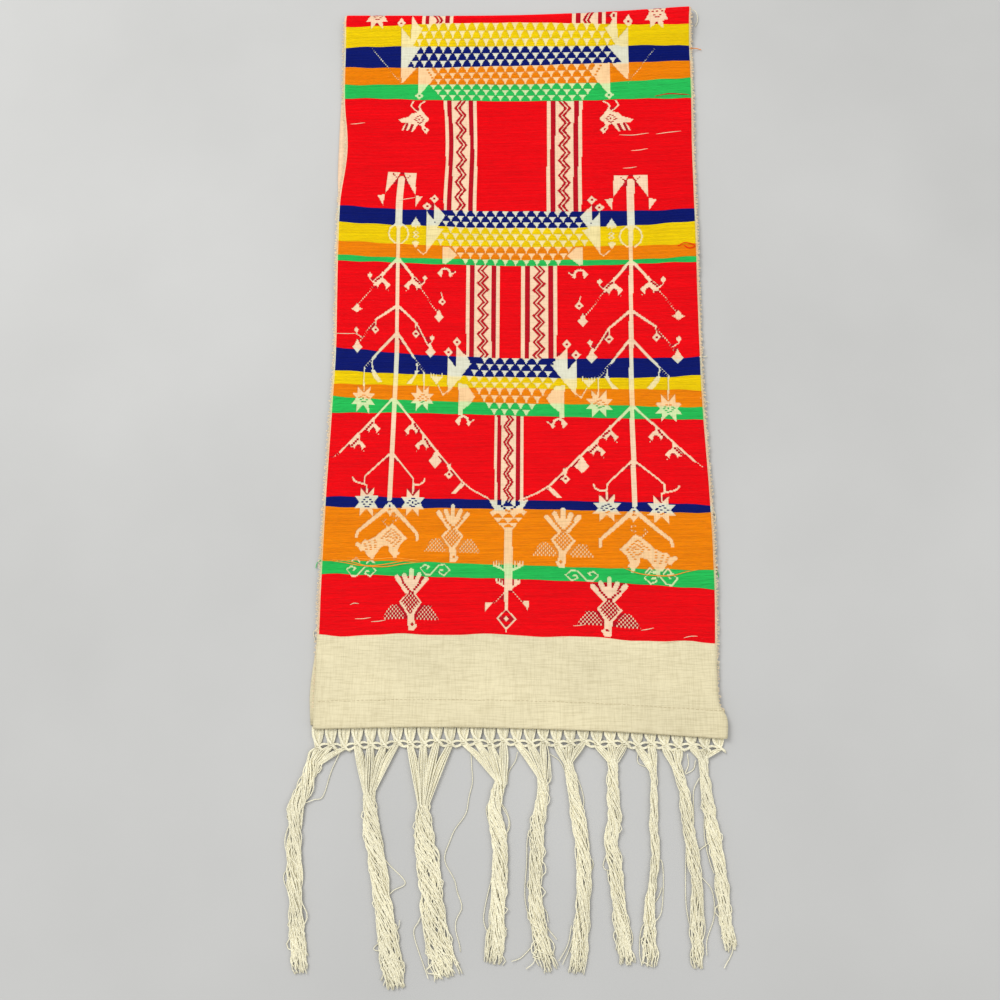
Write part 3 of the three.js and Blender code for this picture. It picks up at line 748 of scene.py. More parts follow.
def draw_animal(pen, x, y, side, scale):
    """A small four-legged figure that hangs from a branch, and the dotted band between the two."""
    here = Pen(pen.x + pen.side * pen.wide * x, pen.y + y, pen.side * side, pen.lean, scale)
    here.polygon([(0, 0), (9.2, 10.5), (8.2, 13.0), (0, 5.5)])
    here.line([(0, 0), (0, 6)], 2.0)
    here.polygon([(across, down * scale) for across, down in ANIMAL])
    here.dots([(1.0, 3.6), (8.0, 11.6)], 2.6)
    here.diamond(-5.8, 18.2 * scale, 1.0, 1.0)


def draw_tree(x, side, lean, down, wide):
    """One tree with its branches, flowers, stars and animals."""
    pen = Pen(x, down, side, lean, wide)
    for (x1, y1, wide1), (x2, y2, wide2) in zip(TRUNK[:-1], TRUNK[1:]):
        pen.line([(x1, y1), (x2, y2)], wide1, wide2)
    for out in (1, -1):
        for fin in FINS:
            pen.polygon(mirrored(fin, out))
        pen.line(mirrored(FIN_SEAM, out), 1.2, show=False, checks=True)
        pen.line(mirrored(RING, out), 2.2)
    for points, width, end, dotted in BRANCHES:
        pen.line(points, width, end, checks=dotted)
    for kind, out, y, half, tall in FLOWERS:
        if kind == "eyed":
            pen.eyed(out, y, half, tall)
            pen.line([(out * 0.97, y - tall - 5), (out, y - tall)], 1.6)
        elif kind == "bud":
            pen.diamond(out, y, half, tall)
            pen.diamond(out, y - 0.6, half * 1.1, tall * 0.6)
            pen.line([(out, y + tall), (out * 0.88, y + tall + 4)], 1.6)
        else:
            pen.diamond(out, y, half, tall)
            pen.diamond(out, y - tall * 0.6, half * 0.5, tall * 0.9)
    for leaf in LEAVES:
        pen.polygon(leaf)
    pen.diamond(-0.5, 558.9, 1.0, 1.2, show=False)
    for star in STARS:
        draw_star(pen, *star)
    for animal in ANIMALS:
        draw_animal(pen, *animal)


def draw_bird(centre, side):
    """A crested bird in front view with dotted wings."""
    pen = Pen.moved(BIRD_FROM, centre, side)
    pen.polygon(CREST)
    for prong in CREST_PRONGS:
        pen.line(prong, 4.9, 4.6)
    for wing in WINGS:
        pen.polygon(wing, checks=True)
    for line in CREST_SEAMS:
        pen.dots(line, 2.8)
    pen.diamond(*CREST_MIDDLE, 8.4, 10.6, show=False, checks=True)
    pen.diamond(*CREST_EYE, 1.3, 1.5, show=False)


def draw_beast(centre, side):
    """A long beast with a ringed body and two horns."""
    pen = Pen.moved(BEAST_FROM, centre, side)
    pen.polygon(BEAST)
    for line in BEAST_LINES:
        pen.dots(line, 2.5, 1)
    for horn in HORNS:
        pen.line(horn, 2.2, checks=True)


def draw_ships():
    """The three ships, one above the other: fields of triangles, ladders, sails and diamonds."""
    for stripe, counts, trend in FIELDS:
        triangle_rows(stripe, counts, trend, np.interp(stripe, FIELD_MIDDLE["stripe"], FIELD_MIDDLE["x"]))
    for side in (1, -1):
        pen = Pen(side=side)
        for stripe, top, low, period, start in LADDERS:
            head = (*sorted((side * top[0], side * top[1])), top[2])
            foot = (*sorted((side * low[0], side * low[1])), low[2] + LADDER_LAP)
            draw_ladder(stripe, head, foot, period, start, side)
        for sail in SAILS:
            pen.polygon(sail)
        for seam in SEAMS:
            pen.dots(seam)
        for x, y in SHIP_DIAMONDS:
            pen.eyed(x, y, 5.0, 5.4)
    draw_ladder(*MIDDLE_LADDER)


def draw_small_figures():
    """The figures between the ships and the trees, and the two stars by the fold."""
    for side in (1, -1):
        pen = Pen(side=side)
        pen.polygon(HANGING)
        for tie in HANGING_TIES:
            pen.line(tie, 2.1)
        pen.dot_ring(*HANGING_RING, 4.8, 5.2, 2.5)
        for eye in (HANGING_RING, HANGING_EYE):
            pen.diamond(*eye, 1.0, 1.2, show=False)
        for eye_x, eye_y in HOOK_EYES:
            here = Pen(side * eye_x, eye_y, side)
            here.line(HOOK_ARCH, 2.6)
            here.polygon(HOOK_FOOT)
            here.line(HOOK_TAIL, 1.7)
            here.diamond(-5.0, 9.8, 2.4, 2.4)
            here.diamond(0, 0, 1.0, 1.2, show=False)
        pen.polygon(SPADE)
        for ring in SPADE_RINGS:
            pen.eyed(*ring, 3.8, 2.9)
        for figure in (SPADE_HEART, COMB):
            pen.polygon(figure)
        for tooth_x, tooth_y in COMB_TEETH:
            pen.line([(tooth_x, tooth_y), (tooth_x, tooth_y + 4.0)], 1.6)
        for stem in FLOWER_STEMS:
            pen.line(stem, 1.6)
    Pen().eyed(*TOP_DIAMOND, 3.8, 4.2)
    for star in TOP_STARS:
        draw_star(Pen(), *star)
    for stem in STEM_TO_STAR:
        Pen().line(stem, 1.5, checks=True)


def draw_middle():
    """The cup under the last ship, and the stem with its brushes, arms and flags."""
    pen = Pen()
    pen.polygon(CUP)
    pen.polygon(STEM)
    for brush in BRUSHES:
        pen.line(brush, 2.2)
    for top, bottom in PRONGS:
        pen.line([top, bottom], 1.5)
    for flag in STEM_FLAGS:
        pen.polygon(flag)
    for arm in STEM_ARMS:
        pen.line(arm, 2.0, checks=True)
    pen.line([(-0.2, 657.8), (0.0, 678.0)], 1.8)
    pen.ring(*STEM_DIAMOND, 9.6, 10.4, 2.6)
    pen.diamond(*STEM_DIAMOND, 2.6, 2.9)
    pen.dots(CUP_SEAM, 3.0)
    pen.polygon(CUP_PATCH, show=False)
    for (middle_x, low), high, count in CUP_ROWS:
        for place in range(count):
            x = middle_x + (place - (count - 1) / 2) * CUP_PITCH
            pen.polygon([(x - 4.4, high), (x - 0.8, low), (x + 0.8, low), (x + 4.4, high)], show=False)


draw_ships()
for tree in TREES:
    draw_tree(*tree)
for centre, side in BIRDS:
    draw_bird(centre, side)
for centre, side in BEASTS:
    draw_beast(centre, side)
for centre, side in SCROLLS:
    Pen.moved(SCROLL_FROM, centre, side).line(SCROLL, 1.7)
for x, y in CHEVRONS:
    Pen(x, y).line([(-4, 1), (0, -3), (4, 1)], 1.8)
draw_small_figures()
draw_middle()

COLOURS = ("red", "yellow", "orange", "green", "blue")
pick_colour = np.array([COLOURS.index(STRIPE_COLOUR[stripe]) for stripe in PICK_STRIPE])
covered = ~Pen.chart

# Meshes
cloth_low, cloth_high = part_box("runner_cloth")
# This file's zero lies so far from the left side and from the top of the cloth's CAD box.
ZERO_FROM_LEFT = 192.63
ZERO_FROM_TOP = 2.0
SHIFT = np.array([cloth_low[0] * 1000 + ZERO_FROM_LEFT, cloth_high[1] * 1000 - ZERO_FROM_TOP, 0.0])
SPECULAR = 0.08
SHEEN_ROUGHNESS = 0.5
WHITE = (1, 1, 1, 1)


def srgb(red, green, blue):
    values = np.array([red, green, blue]) / 255
    linear = np.where(values <= 0.04045, values / 12.92, ((values + 0.055) / 1.055) ** 2.4)
    return (*linear, 1.0)


def add_mesh(name, points, faces, material):
    """Makes one piece of the runner from points in millimetres."""
    mesh = bpy.data.meshes.new(name)
    mesh.from_pydata(((points + SHIFT) / 1000).tolist(), [], faces)
    mesh.polygons.foreach_set("use_smooth", [True] * len(mesh.polygons))
    mesh.materials.append(material)
    mesh.update()
    made = bpy.data.objects.new(name, mesh)
    bpy.context.collection.objects.link(made)
    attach(made, "root")
    return made


def node_material(name, roughness, sheen):
    material = bpy.data.materials.new(name)
    material.use_nodes = True
    shader = material.node_tree.nodes["Principled BSDF"]
    shader.inputs["Roughness"].default_value = roughness
    shader.inputs["Specular IOR Level"].default_value = SPECULAR
    shader.inputs["Sheen Weight"].default_value = sheen
    shader.inputs["Sheen Roughness"].default_value = SHEEN_ROUGHNESS
    return material, shader


def stretched_noise(tree, scale, detail=3.0):
    """Noise over the object, with its own scale along each axis."""
    place = tree.nodes.new("ShaderNodeTexCoord")
    mapping = tree.nodes.new("ShaderNodeMapping")
    mapping.inputs["Scale"].default_value = scale
    noise = tree.nodes.new("ShaderNodeTexNoise")
    noise.inputs["Scale"].default_value = 1.0
    noise.inputs["Detail"].default_value = detail
    tree.links.new(place.outputs["Object"], mapping.inputs["Vector"])
    tree.links.new(mapping.outputs["Vector"], noise.inputs["Vector"])
    return noise.outputs["Fac"]


def ramp(tree, factor, low, high, start=0.3, end=0.7):
    node = tree.nodes.new("ShaderNodeValToRGB")
    node.color_ramp.elements[0].position = start
    node.color_ramp.elements[0].color = low
    node.color_ramp.elements[1].position = end
    node.color_ramp.elements[1].color = high
    tree.links.new(factor, node.inputs["Fac"])
    return node.outputs["Color"]


def multiplied(tree, first, second):
    node = tree.nodes.new("ShaderNodeMix")
    node.data_type = "RGBA"
    node.blend_type = "MULTIPLY"
    node.inputs["Factor"].default_value = 1.0
    tree.links.new(first, node.inputs["A"])
    tree.links.new(second, node.inputs["B"])
    return node.outputs["Result"]


def bump(tree, shader, height, strength, distance):
    node = tree.nodes.new("ShaderNodeBump")
    node.inputs["Strength"].default_value = strength
    node.inputs["Distance"].default_value = distance
    tree.links.new(height, node.inputs["Height"])
    tree.links.new(node.outputs["Normal"], shader.inputs["Normal"])


def shade(colour, amount):
    return (*[min(1.0, channel * amount) for channel in colour[:3]], 1.0)


def weft_material(name, colour):
    """Loosely spun floats: fine fibres run along each pick, and the dye takes unevenly."""
    material, shader = node_material(name, roughness=0.86, sheen=0.02)
    tree = material.node_tree
    picks = stretched_noise(tree, (14, 420, 60))
    fibres = stretched_noise(tree, (160, 3600, 400))
    body = ramp(tree, picks, shade(colour, 0.88), shade(colour, 1.05))
    fine = ramp(tree, fibres, (0.82, 0.82, 0.82, 1), WHITE)
    tree.links.new(multiplied(tree, body, fine), shader.inputs["Base Color"])
    bump(tree, shader, fibres, strength=0.35, distance=0.0004)
    return material


def cotton_material(name, colour):
    """Plain-woven cotton: slubs along the weft, finer ones along the warp, and both in relief."""
    material, shader = node_material(name, roughness=0.9, sheen=0.05)
    tree = material.node_tree
    across = stretched_noise(tree, (70, 1150, 80), detail=4.0)
    along = stretched_noise(tree, (1150, 60, 80), detail=4.0)
    patches = stretched_noise(tree, (9, 14, 9), detail=2.0)
    body = ramp(tree, patches, shade(colour, 0.93), shade(colour, 1.04))
    weft = ramp(tree, across, (0.86, 0.85, 0.82, 1), WHITE, 0.34, 0.56)
    warp = ramp(tree, along, (0.9, 0.89, 0.87, 1), WHITE, 0.34, 0.56)
    tint = tree.nodes.new("ShaderNodeVertexColor")
    tint.layer_name = "tint"
    body = multiplied(tree, body, tint.outputs["Color"])
    threads = multiplied(tree, weft, warp)
    tree.links.new(multiplied(tree, body, threads), shader.inputs["Base Color"])
    relief = tree.nodes.new("ShaderNodeMath")
    relief.operation = "ADD"
    tree.links.new(across, relief.inputs[0])
    tree.links.new(along, relief.inputs[1])
    bump(tree, shader, relief.outputs["Value"], strength=0.6, distance=0.0007)
    return material


def yarn_material(name, colour):
    """Twisted yarn, a little uneven along its length, with painted shade in the hollows of its twist."""
    material, shader = node_material(name, roughness=0.88, sheen=0.06)
    tree = material.node_tree
    twist = stretched_noise(tree, (900, 900, 900), detail=2.0)
    length = stretched_noise(tree, (60, 16, 60), detail=2.0)
    body = ramp(tree, length, shade(colour, 0.9), shade(colour, 1.06))
    # Painted shade: the twist's noise also drives the bump, and this ramp darkens the yarn towards (0.72,
    # 0.7, 0.65) where that bump is low, in the hollows between the fibres.
    fine = ramp(tree, twist, (0.72, 0.7, 0.65, 1), WHITE)
    tree.links.new(multiplied(tree, body, fine), shader.inputs["Base Color"])
    bump(tree, shader, twist, strength=0.5, distance=0.0004)
    return material


CREAM = srgb(217, 207, 172)
cream_cotton = cotton_material("cream_cotton", CREAM)
fringe_yarn = yarn_material("fringe_yarn", srgb(248, 243, 216))
stitch_thread = yarn_material("stitch_thread", srgb(176, 158, 120))
cream_loops = yarn_material("cream_loops", srgb(238, 218, 184))
WEFT_COLOURS = {
    "red": srgb(252, 0, 16),
    "yellow": srgb(255, 220, 0),
    "orange": srgb(255, 146, 0),
    "green": srgb(43, 205, 97),
    "blue": srgb(4, 24, 118),
}
SHORT_COLOURS = {
    "red": srgb(206, 14, 36),
    "yellow": srgb(250, 214, 20),
    "orange": srgb(252, 156, 50),
    "green": srgb(54, 192, 98),
    "blue": srgb(8, 22, 108),
}
# The ground's colour beside each weft, which shines through it, as a share of the plain cream.
GROUND_TINTS = {
    "red": (1.16, 0.92, 0.94),
    "yellow": (1.10, 1.04, 0.76),
    "orange": (1.18, 0.86, 0.68),
    "green": (0.80, 1.10, 0.86),
    "blue": (0.92, 1.02, 1.22),
}
weft_materials = {name: weft_material("weft_" + name, colour) for name, colour in WEFT_COLOURS.items()}
short_materials = {name: weft_material("short_" + name, colour) for name, colour in SHORT_COLOURS.items()}

# The ground: one thin sheet on the back-and-forth section, with its turned hem.
GROUND_COLUMNS = 96
LOWER_STATIONS = 60
FOLD_STATIONS = 24
UPPER_STATIONS = 320
TURN_STATIONS = 8
FLAP_STATIONS = 6
# Past the pattern the ground rises to the cloth's full thickness over this length.
PATTERN_FADE = 5
NO_STRIPE = -1000.0


def pattern_end(u):
    """The distance from the fold at which the pattern ends."""
    return fold_y(u) - stripe_y(len(STRIPES), u)


def add_tints(mesh, y, u):
    """Stores the tint of the ground at each point, from the stripe that it lies in."""
    tints = np.ones((*y.shape, 4))
    for index, colour in enumerate(STRIPE_COLOUR):
        inside = (y <= stripe_y(index, u)) & (y > stripe_y(index + 1, u))
        tints[inside, :3] = GROUND_TINTS[colour]
    layer = mesh.color_attributes.new("tint", "FLOAT_COLOR", "POINT")
    layer.data.foreach_set("color", np.tile(tints.reshape(-1, 4), (2, 1)).ravel())


def hem_sheet(u, turn_start):
    """The middle of the hem's turned part: the turn about the upper layer's end, then the flap."""
    share = np.linspace(0, 1, TURN_STATIONS + 1)[1:, None]
    angle = math.pi * share
    turn_y = turn_start - TURN_RADIUS * np.sin(angle)
    turn_z = UPPER_LEVEL + LAYER_STEP - TURN_RADIUS * (1 - np.cos(angle)) + 0 * u
    turn_x = edge_x(UPPER_OUTLINE, turn_y, u + 0 * turn_y) - u * HEM_FLAP_INSET * share
    flap_y = mix(turn_start, hem_y(u) + HEM_DEPTH, np.linspace(0, 1, FLAP_STATIONS + 1)[1:, None])
    flap_x = edge_x(UPPER_OUTLINE, turn_start, u) - u * HEM_FLAP_INSET + 0 * flap_y
    flap = np.stack([flap_x, flap_y, np.full(flap_y.shape, UPPER_LEVEL)], axis=-1)
    return np.concatenate([np.stack([turn_x, turn_y, turn_z], axis=-1), flap])


def shell_faces(rows, columns):
    """The faces of a closed sheet whose outside points come first and whose inside points follow."""
    index = np.arange(rows * columns).reshape(rows, columns)
    under = index + rows * columns
    a, b, c, d = index[:-1, :-1], index[:-1, 1:], index[1:, 1:], index[1:, :-1]
    faces = [np.stack([a, d, c, b], axis=-1).reshape(-1, 4)]
    faces.append(np.stack([a, b, c, d], axis=-1).reshape(-1, 4) + rows * columns)
    for edge, flip in ((0, False), (-1, True)):
        side = np.stack([index[:-1, edge], under[:-1, edge], under[1:, edge], index[1:, edge]], axis=-1)
        end = np.stack([index[edge, :-1], index[edge, 1:], under[edge, 1:], under[edge, :-1]], axis=-1)
        faces += [side[:, ::-1], end[:, ::-1]] if flip else [side, end]
    return np.concatenate(faces).tolist()


def ground_piece():
    """The plain cloth from the lower layer's end, around the fold, to the hem's flap."""
    u = np.linspace(-1, 1, GROUND_COLUMNS + 1)[None, :]
    end_low = fold_y(u) - hem_y(u) - HEM_OVERHANG
    turn_start = hem_y(u) + THICKNESS / 2 + TURN_RADIUS
    end_high = fold_y(u) - turn_start
    lower = -mix(end_low, FOLD_DEPTH, np.linspace(0, 1, LOWER_STATIONS, endpoint=False)[:, None])
    fold = np.linspace(-FOLD_DEPTH, FOLD_DEPTH, FOLD_STATIONS, endpoint=False)[:, None] + 0 * u
    upper = mix(FOLD_DEPTH, end_high, np.linspace(0, 1, UPPER_STATIONS + 1)[:, None])
    t = np.concatenate([lower, fold, upper])
    sheet = np.concatenate([middle(t, u + 0 * t), hem_sheet(u, turn_start)])
    outer = mix(GROUND_OUTER, THICKNESS / 2, ease((np.abs(t) - pattern_end(u)) / PATTERN_FADE))
    hem_shape = (TURN_STATIONS + FLAP_STATIONS, u.shape[1])
    outer = np.concatenate([outer, np.full(hem_shape, THICKNESS / 2)])
    run = np.gradient(sheet, axis=0)
    normal = np.stack([0 * run[..., 0], run[..., 2], -run[..., 1]], axis=-1)
    normal /= np.linalg.norm(normal, axis=-1, keepdims=True)
    outside = sheet + normal * outer[..., None]
    inside = sheet - normal * GROUND_INNER
    points = np.concatenate([outside.reshape(-1, 3), inside.reshape(-1, 3)])
    points[:, 2] = np.maximum(points[:, 2], 0.0)
    made = add_mesh("runner_ground", points, shell_faces(*outer.shape), cream_cotton)
    along = np.concatenate([fold_y(u) - np.abs(t), np.full(hem_shape, NO_STRIPE)])
    add_tints(made.data, along, u + 0 * along)
    return made


# The wefts: every run of covered cells in a pick is one float of yarn lying on the ground.
# The distance of its points, the run in which it dips at its ends, and how far it passes them.
FLOAT_STEP = 7.5
FLOAT_TAPER = 0.45
END_REACH = 0.25
FLOAT_CLEAR = 0.08
END_RISE = 0.55
SHORT_RUN = 4.9
# Where a float's first inner point may lie and how far its last stays from the end, in steps.
FIRST_POINT = (0.6, 1.2)
LAST_POINT = 0.4
YARN_LAP = 1.1


def float_runs(pick_rows, columns_per_step):
    """Each float as its pick, its colour, and where it starts and ends across the design."""
    runs = []
    for pick in pick_rows:
        shown = covered[pick, ::columns_per_step].astype(int)
        changes = np.flatnonzero(np.diff(np.concatenate([[0], shown, [0]])))
        places = COLUMN_X[0] - HALF_CELL / 2 + changes * HALF_CELL * columns_per_step
        for low, high in zip(places[::2], places[1::2]):
            runs.append((pick, pick_colour[pick], low, high))
    return runs


def wander(across, picks):
    """How far a yarn strays from its pick's line, in picks."""
    return 0.12 * np.sin(across * 0.05 + picks * 1.7) + 0.1 * np.sin(across * 0.16 + picks * 2.9)


def float_mesh(name, runs, material, side, picks_wide):
    """One mesh of floats, each a low three-sided band, on the upper layer (side 1) or beneath (-1)."""
    picks, across, height, counts = [], [], [], []
    for pick, _, low, high in runs:
        first = low + FLOAT_STEP * random.uniform(*FIRST_POINT)
        inner = np.arange(first, high - FLOAT_STEP * LAST_POINT, FLOAT_STEP)
        if high - low > 3 * FLOAT_TAPER:
            begin = [low - END_REACH, low + FLOAT_TAPER]
            finish = [high - FLOAT_TAPER, high + END_REACH]
            spots = np.concatenate([begin, inner, finish])
            rise = np.concatenate([[END_RISE], np.ones(len(inner) + 2), [END_RISE]])
        else:
            spots = np.array([low - END_REACH, (low + high) / 2, high + END_REACH])
            rise = np.array([END_RISE, 1.0, END_RISE])
        picks.append(np.full(len(spots), pick))
        across.append(spots)
        height.append(rise)
        counts.append(len(spots))
    picks, across, height = map(np.concatenate, (picks, across, height))
    counts = np.array(counts)
    stripe = PICK_STRIPE[picks]
    stripe_picks = np.array([row[1] for row in STRIPES])[stripe]
    share = PICK_SHARE[picks] + (picks_wide - 1) / 2 / stripe_picks
    strays = wander(across, picks)
    guess = column_u(across, -PICK_Y[picks])
    corners = []
    for offset, lift in ((-0.5, 0.0), (0.0, 1.0), (0.5, 0.0)):
        place = share + (offset * picks_wide * YARN_LAP + (strays if lift else 0)) / stripe_picks
        y = pick_y(stripe, place, guess)
        u = column_u(across, y)
        t = side * (fold_y(u) - y)
        level = GROUND_OUTER + FLOAT_CLEAR + lift * height * (THICKNESS / 2 - GROUND_OUTER)
        corners.append(middle(t, u) + outward(t, u) * level[..., None])
    points = np.stack(corners, axis=1).reshape(-1, 3)
    points[:, 2] = np.maximum(points[:, 2], 0.0)
    begins = np.concatenate([[0], np.cumsum(counts)[:-1]])
    last = begins + counts - 1
    here = np.setdiff1d(np.arange(len(across)), last) * 3
    faces = []
    for one, two in ((0, 1), (1, 2), (2, 0)):
        quad = np.stack([here + one, here + two, here + two + 3, here + one + 3], axis=-1)
        faces.append(quad if side > 0 else quad[:, ::-1])
    caps = [begins[:, None] * 3 + np.array([0, 2, 1]), last[:, None] * 3 + np.array([0, 1, 2])]
    caps = [cap if side > 0 else cap[:, ::-1] for cap in caps]
    listed = np.concatenate(faces).tolist() + np.concatenate(caps).tolist()
    return add_mesh(name, points, listed, material)


def weft_pieces():
    """For each colour the long floats, the short ones and those on the layer beneath."""
    upper = float_runs(range(len(PICK_Y)), 1)
    beneath = float_runs(range(0, len(PICK_Y) - 1, 2), 2)
    made = []
    for index, colour in enumerate(COLOURS):
        chosen = [run for run in upper if run[1] == index]
        long_runs = [run for run in chosen if run[3] - run[2] > SHORT_RUN]
        short_runs = [run for run in chosen if run[3] - run[2] <= SHORT_RUN]
        made.append(float_mesh("weft_" + colour, long_runs, weft_materials[colour], 1, 1))
        made.append(float_mesh("weft_" + colour + "_short", short_runs, short_materials[colour], 1, 1))
        under = [run for run in beneath if run[1] == index]
        made.append(float_mesh("weft_" + colour + "_beneath", under, weft_materials[colour], -1, 2))
    return made


# The fringe
# The row of knots stands below the hem, lower at the left, and wanders a little up and down.
KNOT_COUNT = 31
KNOT_PITCH = 12.0
KNOT_DROP = 12.4
KNOT_SLANT = 4.0
KNOT_WANDER = 1.4
KNOT_WANDER_STEP = 2.3
KNOT_TURNS = 1.7
KNOT_RADIUS = 1.9
KNOT_YARN_RADIUS = 0.62
CORD_SWING = 2.5
CORD_PITCH = 0.55
CROSSING_PITCH = 0.75
LEG_YARNS = 6
# The yarns of the tassels.
YARN_RADIUS = 0.56
LOOSE_RADIUS = 0.42
YARNS_PER_KNOT = 13
YARN_POINTS = 46
LEAD_POINTS = 8
LINE_POINTS = YARN_POINTS + LEAD_POINTS
TASSEL_HEIGHT = 3.0
LEAST_HALF_WIDTH = 0.6
# Shares of a tassel's length: what the shortest yarn lacks, the neck's run, and where the cut end begins.
SHORTEST_LOSS = 0.08
NECK_RUN = 0.3
CUT_START = 0.6
# How far a yarn crinkles, how often, how many yarns stray, how far, and how far past the tassel at most.
CRINKLE_SIZE = (0.15, 0.5)
CRINKLE_RATE = (14, 75)
STRAY_SHARE = 0.12
STRAY_REACH = 3.5
FARTHEST_STRAY = 3.0
TASSELS = (
    # knots, width at the neck and below, turns, spread at the cut end, neck, middle line
    (3, 16, 15.5, 1.5, 1.0, (-181.6, -794.1), (
        (-190.7, -820.4), (-196.3, -835.8), (-197.0, -866.0), (-193.7, -895.6), (-190.5, -924.8),
        (-185.5, -971.1),
    )),
    (4, 12, 17, 1.7, 1.3, (-131.4, -820.2), (
        (-128.3, -850.6), (-119.1, -895.1), (-111.5, -938.5), (-103.6, -982.4),
    )),
    (4, 13, 23, 1.6, 1.2, (-83.2, -830.7), (
        (-81.4, -853.3), (-75.7, -894.8), (-70.0, -931.0), (-58.8, -972.6),
    )),
    (4, 12, 14.5, 1.7, 1.2, (-14.3, -812.0), (
        (-19.7, -834.9), (-14.6, -864.9), (-15.5, -901.6), (-19.8, -961.7),
    )),
    (3, 10.5, 13.2, 1.8, 1.25, (23.0, -807.3), (
        (22.6, -827.1), (18.8, -848.3), (17.0, -873.6), (16.2, -901.4), (19.1, -930.2), (27.1, -967.5),
    )),
    (3, 9.5, 13.8, 1.8, 1.0, (46.5, -794.9), (
        (50.8, -822.5), (55.6, -849.6), (57.7, -873.3), (58.3, -893.8), (56.5, -925.6), (51.2, -968.7),
    )),
    (3, 10.5, 13.2, 2.0, 0.95, (85.1, -793.2), (
        (85.4, -819.3), (86.1, -841.9), (81.8, -862.8), (86.0, -883.4), (87.8, -908.1), (90.7, -936.7),
        (92.1, -961.3),
    )),
    (2, 6.5, 8.4, 1.6, 1.8, (121.5, -802.3), (
        (121.1, -823.7), (120.1, -852.2), (120.8, -875.8), (117.0, -896.3), (114.1, -918.0),
        (112.9, -962.5),
    )),
    (2, 9.5, 12.6, 1.8, 1.1, (141.4, -796.1), (
        (147.5, -820.5), (150.3, -846.1), (153.3, -872.7), (155.0, -901.8), (154.2, -933.3),
        (153.7, -963.5),
    )),
    (3, 9.5, 12.5, 1.7, 0.95, (165.3, -790.7), (
        (166.6, -812.9), (170.4, -846.0), (174.7, -875.5), (176.9, -900.2), (178.9, -928.8),
        (182.6, -949.9),
    )),
)
# Single yarns that have come loose from the tassels.
LOOSE_YARNS = (
    ((-193.9, -877.9), (-200.6, -884.6), (-204.4, -893.5), (-198.6, -905.9), (-192.8, -911.7)),
    ((-194.9, -831.2), (-199.6, -834.3), (-204.3, -841.9), (-200.4, -847.9), (-196.7, -857.0)),
    ((-157.1, -781.5), (-166.2, -801.8), (-172.9, -824.2), (-180.7, -827.4), (-188.9, -830.5)),
    ((-120.0, -871.5), (-111.8, -881.8), (-97.2, -896.4), (-107.2, -903.1), (-114.0, -909.7)),
    ((-126.4, -868.5), (-127.0, -874.5), (-129.2, -878.2), (-122.0, -880.4)),
    ((-101.0, -926.9), (-103.8, -935.6), (-122.6, -949.3), (-114.8, -952.7)),
    ((-81.0, -921.0), (-84.7, -928.2), (-88.3, -939.7), (-75.2, -973.5)),
    ((-17.5, -819.7), (-20.6, -825.8), (-26.9, -834.9), (-21.2, -856.0), (-17.2, -863.4)),
    ((-14.3, -825.8), (-14.2, -830.3), (-7.1, -843.9), (-9.4, -857.4), (-13.3, -864.9)),
    ((-18.7, -888.5), (-21.8, -892.9), (-28.5, -923.4), (-24.5, -937.7), (-22.2, -946.2)),
    (
        (24.7, -840.7), (10.5, -855.8), (8.8, -879.5), (7.2, -908.7), (13.3, -934.5), (15.5, -957.1),
        (7.9, -964.9),
    ),
    ((16.3, -943.0), (14.8, -945.2), (4.1, -955.9), (-4.3, -959.0)),
    ((21.9, -905.7), (22.6, -914.4), (25.9, -920.1), (27.1, -927.3)),
    ((24.8, -930.1), (28.6, -935.1), (34.3, -941.4)),
    ((47.0, -930.0), (43.7, -945.6), (35.9, -958.4)),
    ((49.2, -934.2), (45.2, -948.4), (38.9, -961.1)),
    ((53.4, -807.2), (57.2, -816.3), (59.4, -827.0), (58.0, -836.0)),
    ((63.3, -873.3), (66.6, -879.1), (64.6, -886.5), (59.9, -890.9)),
    ((87.5, -864.3), (91.2, -873.1), (88.7, -877.8), (85.1, -870.2)),
    ((78.0, -872.4), (75.2, -881.3), (78.5, -885.2), (84.7, -883.4)),
    ((78.8, -884.9), (79.9, -893.7), (84.3, -902.3), (86.4, -909.6)),
    ((90.0, -916.7), (97.9, -933.8), (98.4, -943.7), (93.6, -952.2)),
    ((120.4, -877.3), (125.8, -877.3), (126.9, -893.3), (124.3, -917.9), (118.3, -926.8)),
    ((116.8, -913.6), (122.4, -906.4), (125.0, -899.1)),
    ((112.7, -923.7), (106.3, -933.7), (104.5, -950.7), (106.1, -961.2)),
    ((108.7, -783.1), (108.2, -794.4), (117.2, -799.6), (118.9, -808.5)),
    ((147.4, -866.9), (145.9, -893.2), (145.7, -914.8), (148.7, -933.3)),
    ((159.8, -890.2), (168.4, -901.7), (169.0, -921.8), (162.0, -940.3), (161.1, -952.9)),
    ((152.1, -786.9), (152.6, -796.1), (149.1, -803.8)),
    ((158.9, -792.2), (157.0, -799.9), (149.8, -804.1)),
    ((161.4, -807.5), (156.2, -819.0), (155.2, -843.1), (153.6, -852.0)),
    ((168.1, -861.6), (163.3, -865.0), (158.1, -868.6)),
    ((165.4, -831.0), (163.9, -856.4), (167.4, -877.0), (170.7, -887.2)),
    ((182.3, -933.0), (183.5, -947.1), (180.8, -954.2), (177.9, -958.4), (175.1, -962.6)),
    ((29.9, -787.2), (37.8, -792.6), (42.4, -800.3), (44.2, -808.8)),
    ((0.8, -785.7), (-1.3, -793.5), (-6.9, -802.8), (-8.7, -813.6)),
    ((-13.1, -830.3), (-8.4, -837.9), (-6.0, -848.4), (-9.1, -855.9)),
)
STRAY_KNOT = 11
STRAY_LINE = (
    (-42.5, -781.2), (-39.8, -804.5), (-44.3, -835.0), (-62.6, -871.0), (-52.8, -898.9),
    (-47.8, -914.9), (-52.3, -928.0), (-48.9, -952.0),
)


